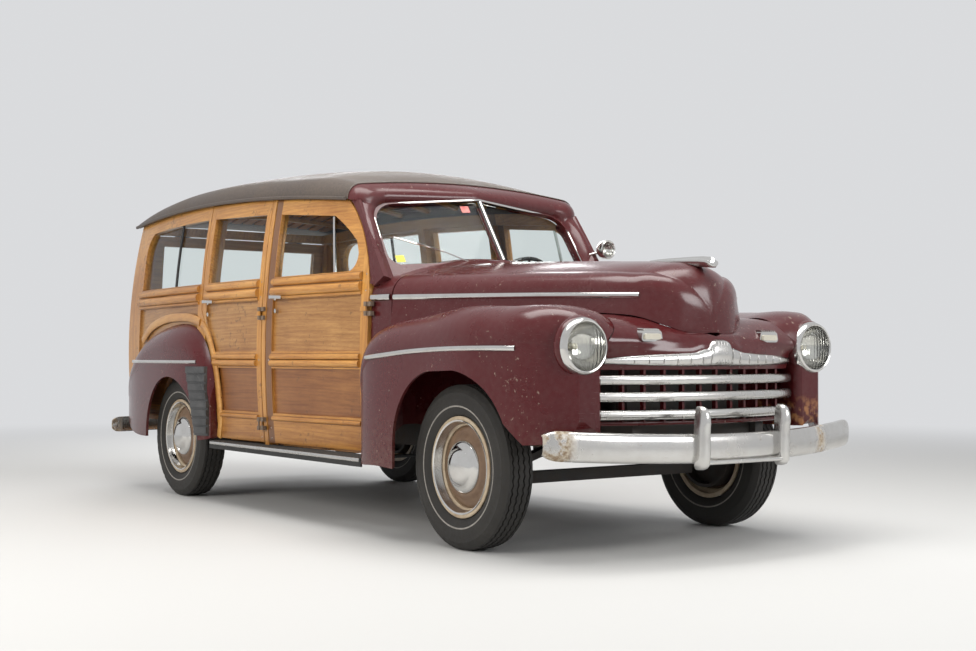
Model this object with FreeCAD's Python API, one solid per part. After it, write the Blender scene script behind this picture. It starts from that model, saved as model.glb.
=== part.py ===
import FreeCAD, Part
import math
import os

# A 1940s wood-bodied station wagon, in millimetres.
# Design frame: u is the distance from the middle plane, y runs rearward from the front axle, z is up.
# Every shape is moved at the end so that the origin lies under the middle of the car.

# Wheels and axles
WHEELBASE = 2896.0
TRACK_FRONT = 1473.0
TRACK_REAR = 1524.0
TYRE_R = 355.0
TYRE_WIDTH = 160.0
RIM_R = 206.0
RIM_WIDTH = 112.0
SPINDLE_R = 20.0
RUNNING_FIT = 0.05
KINGPIN_R = 12.0
KINGPIN_OFFSET = 66.0
STEER_EYE_R = 28.0
STEER_EYE_H = 70.0

# Body, doors and seams
BODY_FRONT_U = 741.0
BODY_WIDE_U = 838.0
BODY_REAR_U = 768.0
BODY_FRONT_Y = 850.0
BODY_WIDE_Y = 2300.0
BODY_REAR_Y = 3885.0
BODY_WIDE_Z = 850.0
BODY_SIDE_R = 4536.0
WALL = 42.0
SEAM = 7.0
REBATE = 8.0
SILL_Z = 370.0
BELT_Z = 1190.0
DOOR_FRONT_Y = 868.0
B_POST_Y = 1790.0
B_POST_WIDE = 52.0
C_SEAM_Y = 2580.0
PANEL_RECESS = 14.0
GLASS = 6.0

# Hinges of the doors, gates and hood
PIN_R = 5.0
PIN_FIT = 0.05
BARREL_R = 10.0
HINGE_OUT = 10.0
HINGE_HALF = 34.0
LEAF = 6.0
DOOR_HINGE_Z = (470.0, 1060.0)

# Roof line over the doors, as three points of one arc, and the roof's own thickness
DRIP_ARC = ((1104.0, 1616.0), (2500.0, 1708.0), (3851.0, 1679.0))
DRIP_OVERHANG = 12.0
ROOF_THICK = 26.0
HEADER_PLAY = 0.4

# Windscreen: the middle of its lower edge, its rake and the sweep of each half
SCREEN_Y = 771.0
SCREEN_Z = 1319.0
SCREEN_RAKE = math.radians(33.8)
SCREEN_SWEEP = math.radians(10.0)

# Steel front end
STEEL = 14.0
HOOD_REAR_Y = 704.0
HOOD_GAP = 8.0
NOSE_Y = -714.0
LAMP_U = 671.0
LAMP_Y = -650.0
LAMP_Z = 869.0
LAMP_R = 119.0

# Bumpers
BUMPER_FRONT_Y = -883.0
BUMPER_REAR_Y = 4083.0
BUMPER_THICK = 16.0

# Extent of the whole car along y, which sets the origin
GUARD_FRONT_Y = -930.0
REAR_END_Y = 4083.0
MIDDLE_Y = (GUARD_FRONT_Y + REAR_END_Y) / 2

V = FreeCAD.Vector
UP = V(0, 0, 1)


def polygon(points):
    """A face from points joined by straight lines."""
    wire = Part.makePolygon(list(points) + [points[0]])
    return Part.Face(wire)


def rounded(points, radii):
    """A face from 3-D corner points, each corner turned by an arc of its own radius."""
    edges = []
    ends = []
    count = len(points)
    for i in range(count):
        p = points[i]
        a = (points[i - 1] - p)
        b = (points[(i + 1) % count] - p)
        r = radii[i]
        if r <= 0:
            ends.append((p, p, None))
            continue
        half = a.getAngle(b) / 2
        cut = r / math.tan(half)
        a.normalize()
        b.normalize()
        start = p + a * cut
        end = p + b * cut
        axis = a + b
        axis.normalize()
        middle = p + axis * (r / math.sin(half) - r)
        ends.append((start, end, middle))
    for i in range(count):
        start, end, middle = ends[i]
        if middle is not None:
            edges.append(Part.Arc(start, middle, end).toShape())
        following = ends[(i + 1) % count][0]
        if (following - end).Length > 1e-6:
            edges.append(Part.LineSegment(end, following).toShape())
    return Part.Face(Part.Wire(edges))


def box(u0, u1, y0, y1, z0, z1):
    """A block between six planes."""
    return Part.makeBox(u1 - u0, y1 - y0, z1 - z0, V(u0, y0, z0))


def across(points_yz, u0, u1, radii=None):
    """A prism along u from an outline in the side view."""
    corners = [V(u0, y, z) for y, z in points_yz]
    face = rounded(corners, radii) if radii else polygon(corners)
    return face.extrude(V(u1 - u0, 0, 0))


def lengthwise(points_uz, y0, y1, radii=None):
    """A prism along y from an outline in the front view."""
    corners = [V(u, y0, z) for u, z in points_uz]
    face = rounded(corners, radii) if radii else polygon(corners)
    return face.extrude(V(0, y1 - y0, 0))


def upright(points_uy, z0, z1, radii=None):
    """A prism along z from an outline in the plan view."""
    corners = [V(u, y, z0) for u, y in points_uy]
    face = rounded(corners, radii) if radii else polygon(corners)
    return face.extrude(V(0, 0, z1 - z0))


def rod(a, b, r):
    """A round bar between two points."""
    direction = b - a
    return Part.makeCylinder(r, direction.Length, a, direction)


def fuse(shapes):
    """One shape from several, with the leftover edges removed."""
    first = shapes[0]
    if len(shapes) > 1:
        first = first.multiFuse(shapes[1:])
    return first.removeSplitter()


def mirrored(shape):
    """The same shape on the other side of the middle plane."""
    return shape.mirror(V(0, 0, 0), V(1, 0, 0))


def pair(shape):
    """The shape and its mirror image as two solids."""
    return Part.makeCompound([shape, mirrored(shape)])


def circle_through(p, q, r):
    """Centre and radius of the circle through three plane points."""
    ax, ay = p
    bx, by = q
    cx, cy = r
    d = 2 * (ax * (by - cy) + bx * (cy - ay) + cx * (ay - by))
    sa = ax * ax + ay * ay
    sb = bx * bx + by * by
    sc = cx * cx + cy * cy
    x = (sa * (by - cy) + sb * (cy - ay) + sc * (ay - by)) / d
    y = (sa * (cx - bx) + sb * (ax - cx) + sc * (bx - ax)) / d
    return x, y, math.hypot(ax - x, ay - y)


PLAN_Y, PLAN_U, PLAN_R = circle_through((BODY_FRONT_Y, BODY_FRONT_U), (BODY_WIDE_Y, BODY_WIDE_U),
                                        (BODY_REAR_Y, BODY_REAR_U))
DRIP_CY, DRIP_CZ, DRIP_R = circle_through(*DRIP_ARC)


def side_u(y, z, out=0.0):
    """Half-width of the wooden body at a place on its side."""
    inset = BODY_SIDE_R - math.sqrt(BODY_SIDE_R ** 2 - (z - BODY_WIDE_Z) ** 2)
    return PLAN_U + math.sqrt((PLAN_R - inset + out) ** 2 - (y - PLAN_Y) ** 2)


def drip_z(y):
    """Height of the roof's side edge."""
    return DRIP_CZ + math.sqrt(DRIP_R ** 2 - (y - DRIP_CY) ** 2)


def side_slab(out, thick, y0, y1, z0, z1):
    """A piece of the curved body side: a barrel section turned about a far upright axis."""
    centre_u = PLAN_U + PLAN_R - BODY_SIDE_R

    def point(radius, z):
        return V(centre_u + math.sqrt(radius ** 2 - (z - BODY_WIDE_Z) ** 2), PLAN_Y, z)

    outer = BODY_SIDE_R + out
    inner = outer - thick
    middle = (z0 + z1) / 2
    edges = [
        Part.Arc(point(outer, z0), point(outer, middle), point(outer, z1)).toShape(),
        Part.LineSegment(point(outer, z1), point(inner, z1)).toShape(),
        Part.Arc(point(inner, z1), point(inner, middle), point(inner, z0)).toShape(),
        Part.LineSegment(point(inner, z0), point(outer, z0)).toShape(),
    ]
    face = Part.Face(Part.Wire(edges))
    start = math.degrees(math.asin((y0 - PLAN_Y) / PLAN_R))
    end = math.degrees(math.asin((y1 - PLAN_Y) / PLAN_R))
    face.rotate(V(PLAN_U, PLAN_Y, 0), UP, start)
    return face.revolve(V(PLAN_U, PLAN_Y, 0), UP, end - start)


def side_bead(z, r, y0, y1):
    """A round moulding that follows the body side."""
    u = side_u(PLAN_Y, z)
    wire = Part.Wire(Part.makeCircle(r, V(u, PLAN_Y, z), V(0, 1, 0)))
    face = Part.Face(wire)
    start = math.degrees(math.asin((y0 - PLAN_Y) / PLAN_R))
    end = math.degrees(math.asin((y1 - PLAN_Y) / PLAN_R))
    face.rotate(V(PLAN_U, PLAN_Y, 0), UP, start)
    return face.revolve(V(PLAN_U, PLAN_Y, 0), UP, end - start)


def side_prism(face_yz):
    """A side-view face, drawn at u = 0, stretched across half the car."""
    return face_yz.extrude(V(1000, 0, 0))


def wire_yz(items):
    """A side-view face from lines and arcs: each item is (y, z) or (y, z, via_y, via_z)."""
    edges = []
    count = len(items)
    for i in range(count):
        start = V(0, items[i][0], items[i][1])
        target = items[(i + 1) % count]
        end = V(0, target[0], target[1])
        if len(target) == 4:
            edges.append(Part.Arc(start, V(0, target[2], target[3]), end).toShape())
        else:
            edges.append(Part.LineSegment(start, end).toShape())
    return Part.Face(Part.Wire(edges))


# Doors of the right-hand side are modelled on +u and mirrored
FRONT_EDGE_TOP_Y = 1104.0
FRONT_EDGE_VIA = (908.0, 1341.0)


def front_door_outline(grow):
    """The front door in side view; grow > 0 makes the opening, grow = 0 the door itself."""
    front = DOOR_FRONT_Y - grow
    rear = B_POST_Y + grow
    low = SILL_Z - grow
    top_front = drip_z(FRONT_EDGE_TOP_Y) - SEAM + grow
    top_rear = drip_z(rear) - SEAM + grow
    middle = (FRONT_EDGE_TOP_Y + rear) / 2
    return wire_yz([
        (rear, low),
        (rear, top_rear),
        (FRONT_EDGE_TOP_Y - grow, top_front, middle, drip_z(middle) - SEAM + grow),
        (front, BELT_Z - 40, FRONT_EDGE_VIA[0] - grow, FRONT_EDGE_VIA[1]),
        (front, low),
    ])


REAR_DOOR_Y = B_POST_Y + B_POST_WIDE


def rear_door_outline(grow):
    """The rear door in side view, its lower edge bent round the rear wing."""
    front = REAR_DOOR_Y - grow
    rear = C_SEAM_Y + grow
    low = SILL_Z - grow
    middle = (front + rear) / 2
    return wire_yz([
        (front, low),
        (2385 + grow, low),
        (2385 + grow, 560),
        (rear, 1100, 2440 + grow, 830),
        (rear, drip_z(rear) - SEAM + grow),
        (front, drip_z(front) - SEAM + grow, middle, drip_z(middle) - SEAM + grow),
    ])


# Rails of the wooden body: height, radius, and the rear door's end of it over the wing
BEADS = [
    (1222.0, 21.0, 2700.0),
    (1172.0, 25.0, 2700.0),
    (1140.0, 9.0, 2700.0),
    (828.0, 14.7, 2405.0),
    (794.0, 18.7, 2393.0),
    (502.0, 13.0, 2326.0),
]
# Recessed panels: lower and upper edge
PANELS = [(856.0, 1128.0), (528.0, 766.0)]
WINDOW_Z = 1250.0
TOP_RAIL = 86.0
STILE = 62.0


def window_face(front_low, front_high, rear, top_drop, curved):
    """A window opening in side view."""
    low = WINDOW_Z
    high_rear = drip_z(rear) - top_drop
    high_front = drip_z(front_high) - top_drop
    if curved:
        return wire_yz([
            (rear, low),
            (rear, high_rear),
            (front_high + 60, high_front + 4),
            (front_low + 22, 1400, front_high - 52, high_front - 60),
            (front_low, low + 90),
            (front_low + 90, low, front_low + 24, low + 24),
        ])
    return wire_yz([
        (rear, low),
        (rear, high_rear),
        (front_high, high_front),
        (front_low, low),
    ])


FRONT_WINDOW = window_face(975.0, 1150.0, B_POST_Y - STILE, TOP_RAIL, True)
REAR_WINDOW = window_face(REAR_DOOR_Y + 46, REAR_DOOR_Y + 46, C_SEAM_Y - STILE, TOP_RAIL, False)


def hinge_axis(y):
    """Place in plan of a door's upright hinge axis, just outside the door's front edge."""
    return side_u(y, BODY_WIDE_Z) + HINGE_OUT


def door_leaves(y):
    """Barrels and straps of one door, bored for the pins."""
    u = hinge_axis(y)
    leaves = []
    for z in DOOR_HINGE_Z:
        low = z - HINGE_HALF / 3
        barrel = Part.makeCylinder(BARREL_R, HINGE_HALF * 2 / 3, V(u, y, low))
        strap = box(u - BARREL_R - 18, u - 3, y, y + 62, low, low + HINGE_HALF * 2 / 3)
        strap = strap.cut(side_slab(LEAF + 60, 60, y - 20, y + 100, z - 60, z + 60))
        bore = Part.makeCylinder(PIN_R + PIN_FIT, 2 * HINGE_HALF, V(u, y, z - HINGE_HALF))
        leaves.append(barrel.fuse(strap).cut(bore))
    return leaves


def door_brackets(y, carrier):
    """Pins, lugs and plates on the post in front of one door."""
    u = hinge_axis(y)
    pieces = []
    for z in DOOR_HINGE_Z:
        pin = Part.makeCylinder(PIN_R, 2 * HINGE_HALF, V(u, y, z - HINGE_HALF))
        lugs = []
        for low in (z - HINGE_HALF, z + HINGE_HALF / 3 + 1):
            high = HINGE_HALF * 2 / 3 - 1
            lug = Part.makeCylinder(BARREL_R, high, V(u, y, low))
            arm = box(u - 24, u - 3, y - 40, y - 3, low, low + high)
            lugs += [lug, arm]
        piece = fuse([pin] + lugs).cut(carrier)
        pieces.append(largest(piece))
    return pieces


def wood_door(outline, window, panels_y, arch):
    """A framed wooden door: slab, sunk panels, round rails and a window cut through."""
    y0, y1 = panels_y
    slab = side_slab(0, WALL, 840, 2620, 330, 1740)
    for z0, z1 in PANELS:
        sunk = side_slab(5, PANEL_RECESS + 5, y0, y1, z0, z1)
        if arch:
            sunk = sunk.cut(across([(2320, 300), (2320, 600), (2400, 830), (2520, 1060), (2700, 1060), (2700, 300)],
                                   0, 1000))
        slab = slab.cut(sunk)
    beads = []
    for z, r, end_over_wing in BEADS:
        beads.append(side_bead(z, r, y0 - 2, min(y1 + 2, end_over_wing)))
    door = slab.multiFuse(beads)
    door = door.common(side_prism(outline(0)))
    door = door.cut(side_prism(window))
    inside = side_slab(-WALL, 60, 840, 2620, 330, 1740)
    door = door.cut(inside)
    rear = max(v.Y for v in door.Vertexes)
    rebate = side_slab(-WALL * 0.4, WALL, rear - REBATE, rear + 20, 330, 1740)
    door = door.cut(rebate)
    front = REAR_DOOR_Y if arch else DOOR_FRONT_Y
    for leaf in door_leaves(front):
        door = door.fuse(leaf)
    return largest(door)


def glass_pane(window):
    """A flat-looking pane that fills a side window, set at mid thickness."""
    pane = side_slab(-WALL / 2, GLASS, 840, 3800, 1180, 1720)
    return pane.common(side_prism(window))


# Section lofts: each section is a closed wire of lines and arcs across the car
def roof_section(y, w, z_edge, z_top, corner):
    """Roof section: flat underside, tight side arcs and one wide crown arc."""
    rise = z_top - z_edge
    flat = w - corner
    crown = (flat * flat + rise * rise - corner * corner) / (2 * (rise - corner))
    centre = z_top - crown
    angle = math.atan2(flat, z_edge - centre)
    join = V((crown) * math.sin(angle), y, centre + crown * math.cos(angle))
    turn = math.radians(45) - angle / 2 + math.radians(0)
    side_mid = V(flat + corner * math.cos(turn), y, z_edge + corner * math.sin(turn))
    left = V(w, y, z_edge)
    top = V(0, y, z_top)
    edges = [
        Part.Arc(left, side_mid, join).toShape(),
        Part.Arc(join, top, V(-join.x, y, join.z)).toShape(),
        Part.Arc(V(-join.x, y, join.z), V(-side_mid.x, y, side_mid.z), V(-w, y, z_edge)).toShape(),
        Part.LineSegment(V(-w, y, z_edge), left).toShape(),
    ]
    return Part.Wire(edges)


# Roof sections: y, half-width, crown height, corner radius; the edge lies on the drip line
ROOF = [
    (930.0, 716.0, 1668.0, 52.0),
    (1250.0, 732.0, 1790.0, 104.0),
    (1800.0, 766.0, 1876.0, 112.0),
    (2500.0, 778.0, 1897.0, 112.0),
    (3200.0, 760.0, 1852.0, 95.0),
    (3700.0, 728.0, 1768.0, 56.0),
    (3880.0, 712.0, 1724.0, 30.0),
]


def roof_solid(inset):
    """The roof's outer form, or the space under it."""
    wires = []
    for y, w, z_top, corner in ROOF:
        low = drip_z(y) - (40 if inset else 0)
        wires.append(roof_section(y, w - inset, low, z_top - inset, corner - inset / 3))
    return Part.makeLoft(wires, True, inset > 0)


def screen_point(s, t, depth=0.0, side=1):
    """A point of the windscreen plane: s outward from the middle, t up the rake, depth inward."""
    e1 = V(math.cos(SCREEN_SWEEP), math.sin(SCREEN_SWEEP), 0)
    e2 = V(0, math.sin(SCREEN_RAKE), math.cos(SCREEN_RAKE))
    normal = e1.cross(e2)
    normal.normalize()
    p = V(0, SCREEN_Y, SCREEN_Z) + e1 * s + e2 * t - normal * depth
    return V(p.x * side, p.y, p.z)


def screen_slab(corners, radii, depth0, depth1):
    """A piece of the windscreen plane between two depths."""
    points = [screen_point(s, t, depth0) for s, t in corners]
    face = rounded(points, radii)
    move = screen_point(0, 0, depth1) - screen_point(0, 0, depth0)
    return face.extrude(move)


SCREEN_OPENING = [(14.0, -8.0), (636.0, -60.0), (618.0, 318.0), (14.0, 384.0)]
SCREEN_RADII = [12.0, 70.0, 118.0, 12.0]
SCREEN_PLAY = 1.0
PANE_DEPTH = 12.0


def plan_section(z, w, front_shift, inset, corner):
    """Plan of the cabin's front: straight sides, round corners and a swept screen."""
    front = SCREEN_Y + (z - SCREEN_Z) * math.tan(SCREEN_RAKE) - 12 + front_shift
    half = w - inset
    middle = front + inset / math.cos(SCREEN_SWEEP) / math.cos(SCREEN_RAKE)
    side = middle + half * math.tan(SCREEN_SWEEP)
    back = 1500.0
    points = [V(half, back, z), V(half, side, z), V(0, middle, z), V(-half, side, z), V(-half, back, z)]
    return rounded(points, [0, corner, 0, corner, 0]).OuterWire


def cabin_front(inset):
    """The cabin's raked front, from the belt to above the roof."""
    corner = 90.0 - inset
    low = plan_section(1150.0, 733.0, 0, inset, corner)
    high = plan_section(1900.0, 690.0, 0, inset, corner)
    return Part.makeLoft([low, high], True, True)


def hood_section(y, w_low, z_low, w_high, z_shoulder, z_top, corner):
    """Hood section: near-upright sides, a shoulder arc and a wide crown arc."""
    top = V(0, y, z_top)
    shoulder_out = V(w_high, y, z_shoulder - corner)
    shoulder_mid = V(w_high - corner * 0.293, y, z_shoulder - corner * 0.293)
    shoulder_in = V(w_high - corner, y, z_shoulder)
    low = V(w_low, y, z_low)
    edges = [
        Part.LineSegment(low, shoulder_out).toShape(),
        Part.Arc(shoulder_out, shoulder_mid, shoulder_in).toShape(),
        Part.Arc(shoulder_in, top, V(-shoulder_in.x, y, shoulder_in.z)).toShape(),
        Part.Arc(V(-shoulder_in.x, y, shoulder_in.z), V(-shoulder_mid.x, y, shoulder_mid.z),
                 V(-shoulder_out.x, y, shoulder_out.z)).toShape(),
        Part.LineSegment(V(-shoulder_out.x, y, shoulder_out.z), V(-w_low, y, z_low)).toShape(),
        Part.LineSegment(V(-w_low, y, z_low), low).toShape(),
    ]
    return Part.Wire(edges)


# Hood sections: y, low half-width, low height, high half-width, shoulder height, crown height, corner
HOOD = [
    (HOOD_REAR_Y, 712.0, 975.0, 700.0, 1222.0, 1300.0, 110.0),
    (300.0, 590.0, 990.0, 574.0, 1212.0, 1285.0, 105.0),
    (-150.0, 452.0, 1003.0, 436.0, 1200.0, 1262.0, 96.0),
    (-480.0, 344.0, 1010.0, 326.0, 1186.0, 1240.0, 86.0),
    (-600.0, 285.0, 990.0, 262.0, 1172.0, 1224.0, 80.0),
    (-665.0, 205.0, 955.0, 190.0, 1140.0, 1190.0, 70.0),
    (-700.0, 140.0, 934.0, 128.0, 1095.0, 1140.0, 55.0),
    (NOSE_Y, 90.0, 930.0, 82.0, 1050.0, 1085.0, 40.0),
]


def hood_solid(inset, low_drop):
    """The hood's outer form, or the space under it."""
    wires = []
    last = len(HOOD) - 1
    for i, (y, w_low, z_low, w_high, z_shoulder, z_top, corner) in enumerate(HOOD):
        move = inset if i == last else 0
        if inset and i == 0:
            y = y + 30
        wires.append(hood_section(y + move, w_low - inset, z_low - low_drop, w_high - inset,
                                  z_shoulder - inset, z_top - inset, corner - inset / 2))
    return Part.makeLoft(wires, True, True)


HOOD_AXIS_Y = HOOD_REAR_Y + 2
HOOD_AXIS_Z = 1297.0
HOOD_PIN_R = 3.0
HOOD_BARREL_R = 5.5


def hood_barrels(radius):
    """The hood's two hinge barrels, or the room round them."""
    bars = []
    for s in (-1, 1):
        bars.append(rod(V(s * 22, HOOD_AXIS_Y, HOOD_AXIS_Z), V(s * 58, HOOD_AXIS_Y, HOOD_AXIS_Z), radius))
    return bars


def make_hood():
    """Steel lid over the engine, a hollow shell open below and behind, with its hinge barrels."""
    outer = hood_solid(0, 0)
    inner = hood_solid(STEEL, 200)
    hood = outer.cut(inner)
    hood = hood.common(box(-900, 900, -900, HOOD_REAR_Y, 800, 1400))
    relief = rod(V(-21, HOOD_AXIS_Y, HOOD_AXIS_Z), V(21, HOOD_AXIS_Y, HOOD_AXIS_Z), HOOD_BARREL_R + 1)
    hood = hood.fuse(hood_barrels(HOOD_BARREL_R)).cut(relief)
    bore = rod(V(-62, HOOD_AXIS_Y, HOOD_AXIS_Z), V(62, HOOD_AXIS_Y, HOOD_AXIS_Z), HOOD_PIN_R + PIN_FIT)
    return largest(hood.cut(bore))


def make_hood_ornament():
    """Bright spear along the hood's crest that ends in a blunt nose."""
    side = [(-329, 1246), (-350, 1262), (-560, 1268), (-700, 1250), (-736, 1228), (-722, 1190), (-640, 1190)]
    spear = across(side, -11, 11, [0, 10, 60, 60, 12, 8, 8])
    spear = spear.cut(hood_solid(0, 0))
    return largest(spear)


# Front wing sections: y, outer half-width, shoulder z, ridge u, ridge z, inner u, inner z, apron u, low z
FRONT_WING = [
    (700.0, 872.0, 640.0, 812.0, 800.0, 722.0, 800.0, 640.0, 335.0),
    (640.0, 902.0, 760.0, 796.0, 922.0, 720.0, 905.0, 600.0, 330.0),
    (362.0, 922.0, 850.0, 772.0, 997.0, 614.0, 968.0, 462.0, 330.0),
    (38.0, 926.0, 880.0, 762.0, 1031.0, 516.0, 985.0, 462.0, 330.0),
    (-259.0, 920.0, 890.0, 752.0, 1038.0, 427.0, 996.0, 462.0, 430.0),
    (-481.0, 876.0, 885.0, 728.0, 1037.0, 470.0, 1004.0, 566.0, 474.0),
    (-600.0, 798.0, 872.0, 690.0, 1018.0, 478.0, 985.0, 570.0, 484.0),
    (-652.0, 736.0, 850.0, 660.0, 980.0, 496.0, 945.0, 574.0, 510.0),
    (-682.0, 700.0, 810.0, 655.0, 915.0, 566.0, 890.0, 596.0, 585.0),
]


APRON_Z = 520.0


def wing_section(y, u_out, z_sh, u_ridge, z_ridge, u_in, z_in, u_apron, z_low, inset):
    """Front wing section: apron, inner slope, crown over the ridge, round shoulder and side."""
    out = u_out - inset
    ridge = V(u_ridge, y, z_ridge - inset)
    start = V(u_in, y, z_in - inset)
    foot = V(u_apron + inset, y, min(z_in - 60, z_sh) - inset)
    drop = 60 if inset else 0
    low_in = V(u_apron + inset, y, APRON_Z - drop)
    low_out = V(out, y, z_low - drop)
    shoulder = V(out, y, z_sh)
    crown_mid = V((u_in + u_ridge) / 2, y, (z_in + z_ridge) / 2 - inset + 14)
    bulge = 0.74
    side_mid = V(u_ridge + (out - u_ridge) * bulge, y, z_sh + (z_ridge - inset - z_sh) * bulge)
    edges = [
        Part.LineSegment(low_out, low_in).toShape(),
        Part.LineSegment(low_in, foot).toShape(),
        Part.LineSegment(foot, start).toShape(),
        Part.Arc(start, crown_mid, ridge).toShape(),
        Part.Arc(ridge, side_mid, shoulder).toShape(),
        Part.LineSegment(shoulder, low_out).toShape(),
    ]
    return Part.Wire(edges)


def wing_solid(inset):
    """The front wing's outer form, or the space inside it."""
    wires = []
    last = len(FRONT_WING) - 1
    for i, row in enumerate(FRONT_WING):
        y = row[0]
        if inset:
            y = y + (-STEEL if i == 0 else 0) + (STEEL if i == last else 0)
        wires.append(wing_section(y, *row[1:], inset))
    return Part.makeLoft(wires, True, inset > 0)


def front_arch():
    """The front wheel's opening in the wing, in side view."""
    return wire_yz([
        (356, 200),
        (352, 430),
        (60, 766, 262, 668),
        (-130, 771),
        (-430, 560, -300, 712),
        (-545, 455),
        (-545, 200),
    ])


def make_front_wings():
    """The two front wings with their aprons and wheel openings."""
    outer = wing_solid(0)
    wing = outer.cut(wing_solid(STEEL))
    wing = wing.cut(front_arch().extrude(V(400, 0, 0)).translated(V(620, 0, 0)))
    wing = wing.cut(hood_solid(-HOOD_GAP, 0))
    wing = wing.cut(lamp_room(0.3))
    return pair(largest(wing))


# Rear wing sections: y, outer half-width, shoulder z, top z, low z
REAR_WING = [
    (2392.0, 862.0, 520.0, 700.0, 368.0),
    (2470.0, 896.0, 720.0, 880.0, 352.0),
    (2600.0, 918.0, 820.0, 985.0, 345.0),
    (2820.0, 930.0, 850.0, 1030.0, 345.0),
    (3100.0, 924.0, 840.0, 1008.0, 345.0),
    (3400.0, 902.0, 760.0, 930.0, 350.0),
    (3600.0, 866.0, 660.0, 830.0, 400.0),
    (3716.0, 826.0, 560.0, 740.0, 480.0),
]


def rear_wing_section(y, u_out, z_sh, z_top, z_low, inset):
    """Rear wing section: upright inner side, quarter-round top and upright outer side."""
    u_in = side_u(y, 800) - 30
    out = u_out - inset
    low = z_low - (60 if inset else 0)
    start = V(u_in, y, z_top - inset)
    shoulder = V(out, y, z_sh)
    reach = out - u_in
    rise = z_top - inset - z_sh
    middle = V(u_in + reach * 0.74, y, z_sh + rise * 0.68)
    edges = [
        Part.LineSegment(V(out, y, low), V(u_in, y, low)).toShape(),
        Part.LineSegment(V(u_in, y, low), start).toShape(),
        Part.Arc(start, middle, shoulder).toShape(),
        Part.LineSegment(shoulder, V(out, y, low)).toShape(),
    ]
    return Part.Wire(edges)


def rear_wing_solid(inset, grow=0.0):
    """The rear wing's outer form, or the space inside it."""
    wires = []
    last = len(REAR_WING) - 1
    for i, (y, u_out, z_sh, z_top, z_low) in enumerate(REAR_WING):
        if inset:
            y = y + (STEEL if i == 0 else 0) - (STEEL if i == last else 0)
        if i == 0:
            y = y - grow
        wires.append(rear_wing_section(y, u_out + grow, z_sh, z_top + grow, z_low, inset))
    return Part.makeLoft(wires, True, inset > 0)


def make_rear_wings():
    """The two rear wings, hollow, with round wheel openings, standing on the body's side."""
    wing = rear_wing_solid(0).cut(rear_wing_solid(STEEL))
    arch = wire_yz([(2486, 200), (2486, 340), (2866, 710, 2600, 607), (3202, 345, 3100, 607), (3202, 200)])
    wing = wing.cut(arch.extrude(V(400, 0, 0)).translated(V(700, 0, 0)))
    wing = wing.cut(side_slab(0, 200, 2300, 3880, 300, 1200))
    return pair(largest(wing))


def largest(shape):
    """The biggest solid of a shape, without crumbs that a cut leaves."""
    return max(shape.Solids, key=lambda s: s.Volume)


# Side view of the room in front of the rubber guards, in which the rear door's edge swings
PAD_FRONT_GAP = [(2200, 300), (2398, 300), (2398, 560), (2414, 700), (2434, 780), (2434, 850), (2200, 850)]


def make_wing_pads():
    """Ribbed rubber guards on the front of the rear wings."""
    skin = rear_wing_solid(0, 15.0).cut(rear_wing_solid(0, 0.3))
    pads = []
    rib = 36.0
    pitch = 49.0
    first = 392.0
    for i in range(8):
        z = first + pitch * i
        rear = 2500 + 0.26 * (z - first)
        pads.append(skin.common(box(820, 1000, 2300, rear, z, z + rib)))
    backing = rear_wing_solid(0, 7.0).cut(rear_wing_solid(0, 0.3))
    backing = backing.common(across([(2300, 380), (2300, 772), (2604, 772), (2504, 380)], 820, 1000))
    guard = backing.multiFuse(pads)
    guard = guard.cut(side_slab(3.0, 200, 2300, 3700, 300, 1200))
    guard = guard.cut(across(PAD_FRONT_GAP, 780, 1000))
    return pair(largest(guard))


def lamp_room(clearance):
    """Room in the wing for the headlamp's round body."""
    r = LAMP_R - 14 + clearance
    return Part.makeCylinder(r, 200, V(LAMP_U, LAMP_Y - 82, LAMP_Z), V(0, 1, 0))


def revolved(points_ru, centre_u, y, z, axis=V(1, 0, 0)):
    """A turned piece: (r, u) profile points about a line across the car."""
    corners = [V(centre_u + u, y, z + r) for r, u in points_ru]
    face = polygon(corners)
    return face.revolve(V(centre_u, y, z), axis, 360)


def make_tyre(centre_u, y):
    """A bias-ply tyre: flat tread, round shoulders and a hollow inside."""
    half = TYRE_WIDTH / 2
    tread = half * 0.74
    bead = RIM_WIDTH / 2
    r_side = (TYRE_R + RIM_R) / 2 + 6
    r_bead = RIM_R + 14
    z = TYRE_R

    def at(r, u):
        return V(centre_u + u, y, z + r)

    edges = [
        Part.LineSegment(at(TYRE_R, -tread), at(TYRE_R, tread)).toShape(),
        Part.Arc(at(TYRE_R, tread), at(TYRE_R - 10, tread + 13), at(TYRE_R - 27, half - 4)).toShape(),
        Part.Arc(at(TYRE_R - 27, half - 4), at(r_side, half), at(r_bead, bead)).toShape(),
        Part.LineSegment(at(r_bead, bead), at(RIM_R, bead)).toShape(),
        Part.LineSegment(at(RIM_R, bead), at(RIM_R, bead - 14)).toShape(),
        Part.Arc(at(RIM_R, bead - 14), at(r_side, half - 13), at(TYRE_R - 30, half - 22)).toShape(),
        Part.LineSegment(at(TYRE_R - 30, half - 22), at(TYRE_R - 14, tread - 4)).toShape(),
        Part.LineSegment(at(TYRE_R - 14, tread - 4), at(TYRE_R - 14, -tread + 4)).toShape(),
        Part.LineSegment(at(TYRE_R - 14, -tread + 4), at(TYRE_R - 30, -half + 22)).toShape(),
        Part.Arc(at(TYRE_R - 30, -half + 22), at(r_side, -half + 13), at(RIM_R, -bead + 14)).toShape(),
        Part.LineSegment(at(RIM_R, -bead + 14), at(RIM_R, -bead)).toShape(),
        Part.LineSegment(at(RIM_R, -bead), at(r_bead, -bead)).toShape(),
        Part.Arc(at(r_bead, -bead), at(r_side, -half), at(TYRE_R - 27, -half + 4)).toShape(),
        Part.Arc(at(TYRE_R - 27, -half + 4), at(TYRE_R - 10, -tread - 13), at(TYRE_R, -tread)).toShape(),
    ]
    face = Part.Face(Part.Wire(edges))
    return face.revolve(V(centre_u, y, z), V(1, 0, 0), 360)


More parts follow.
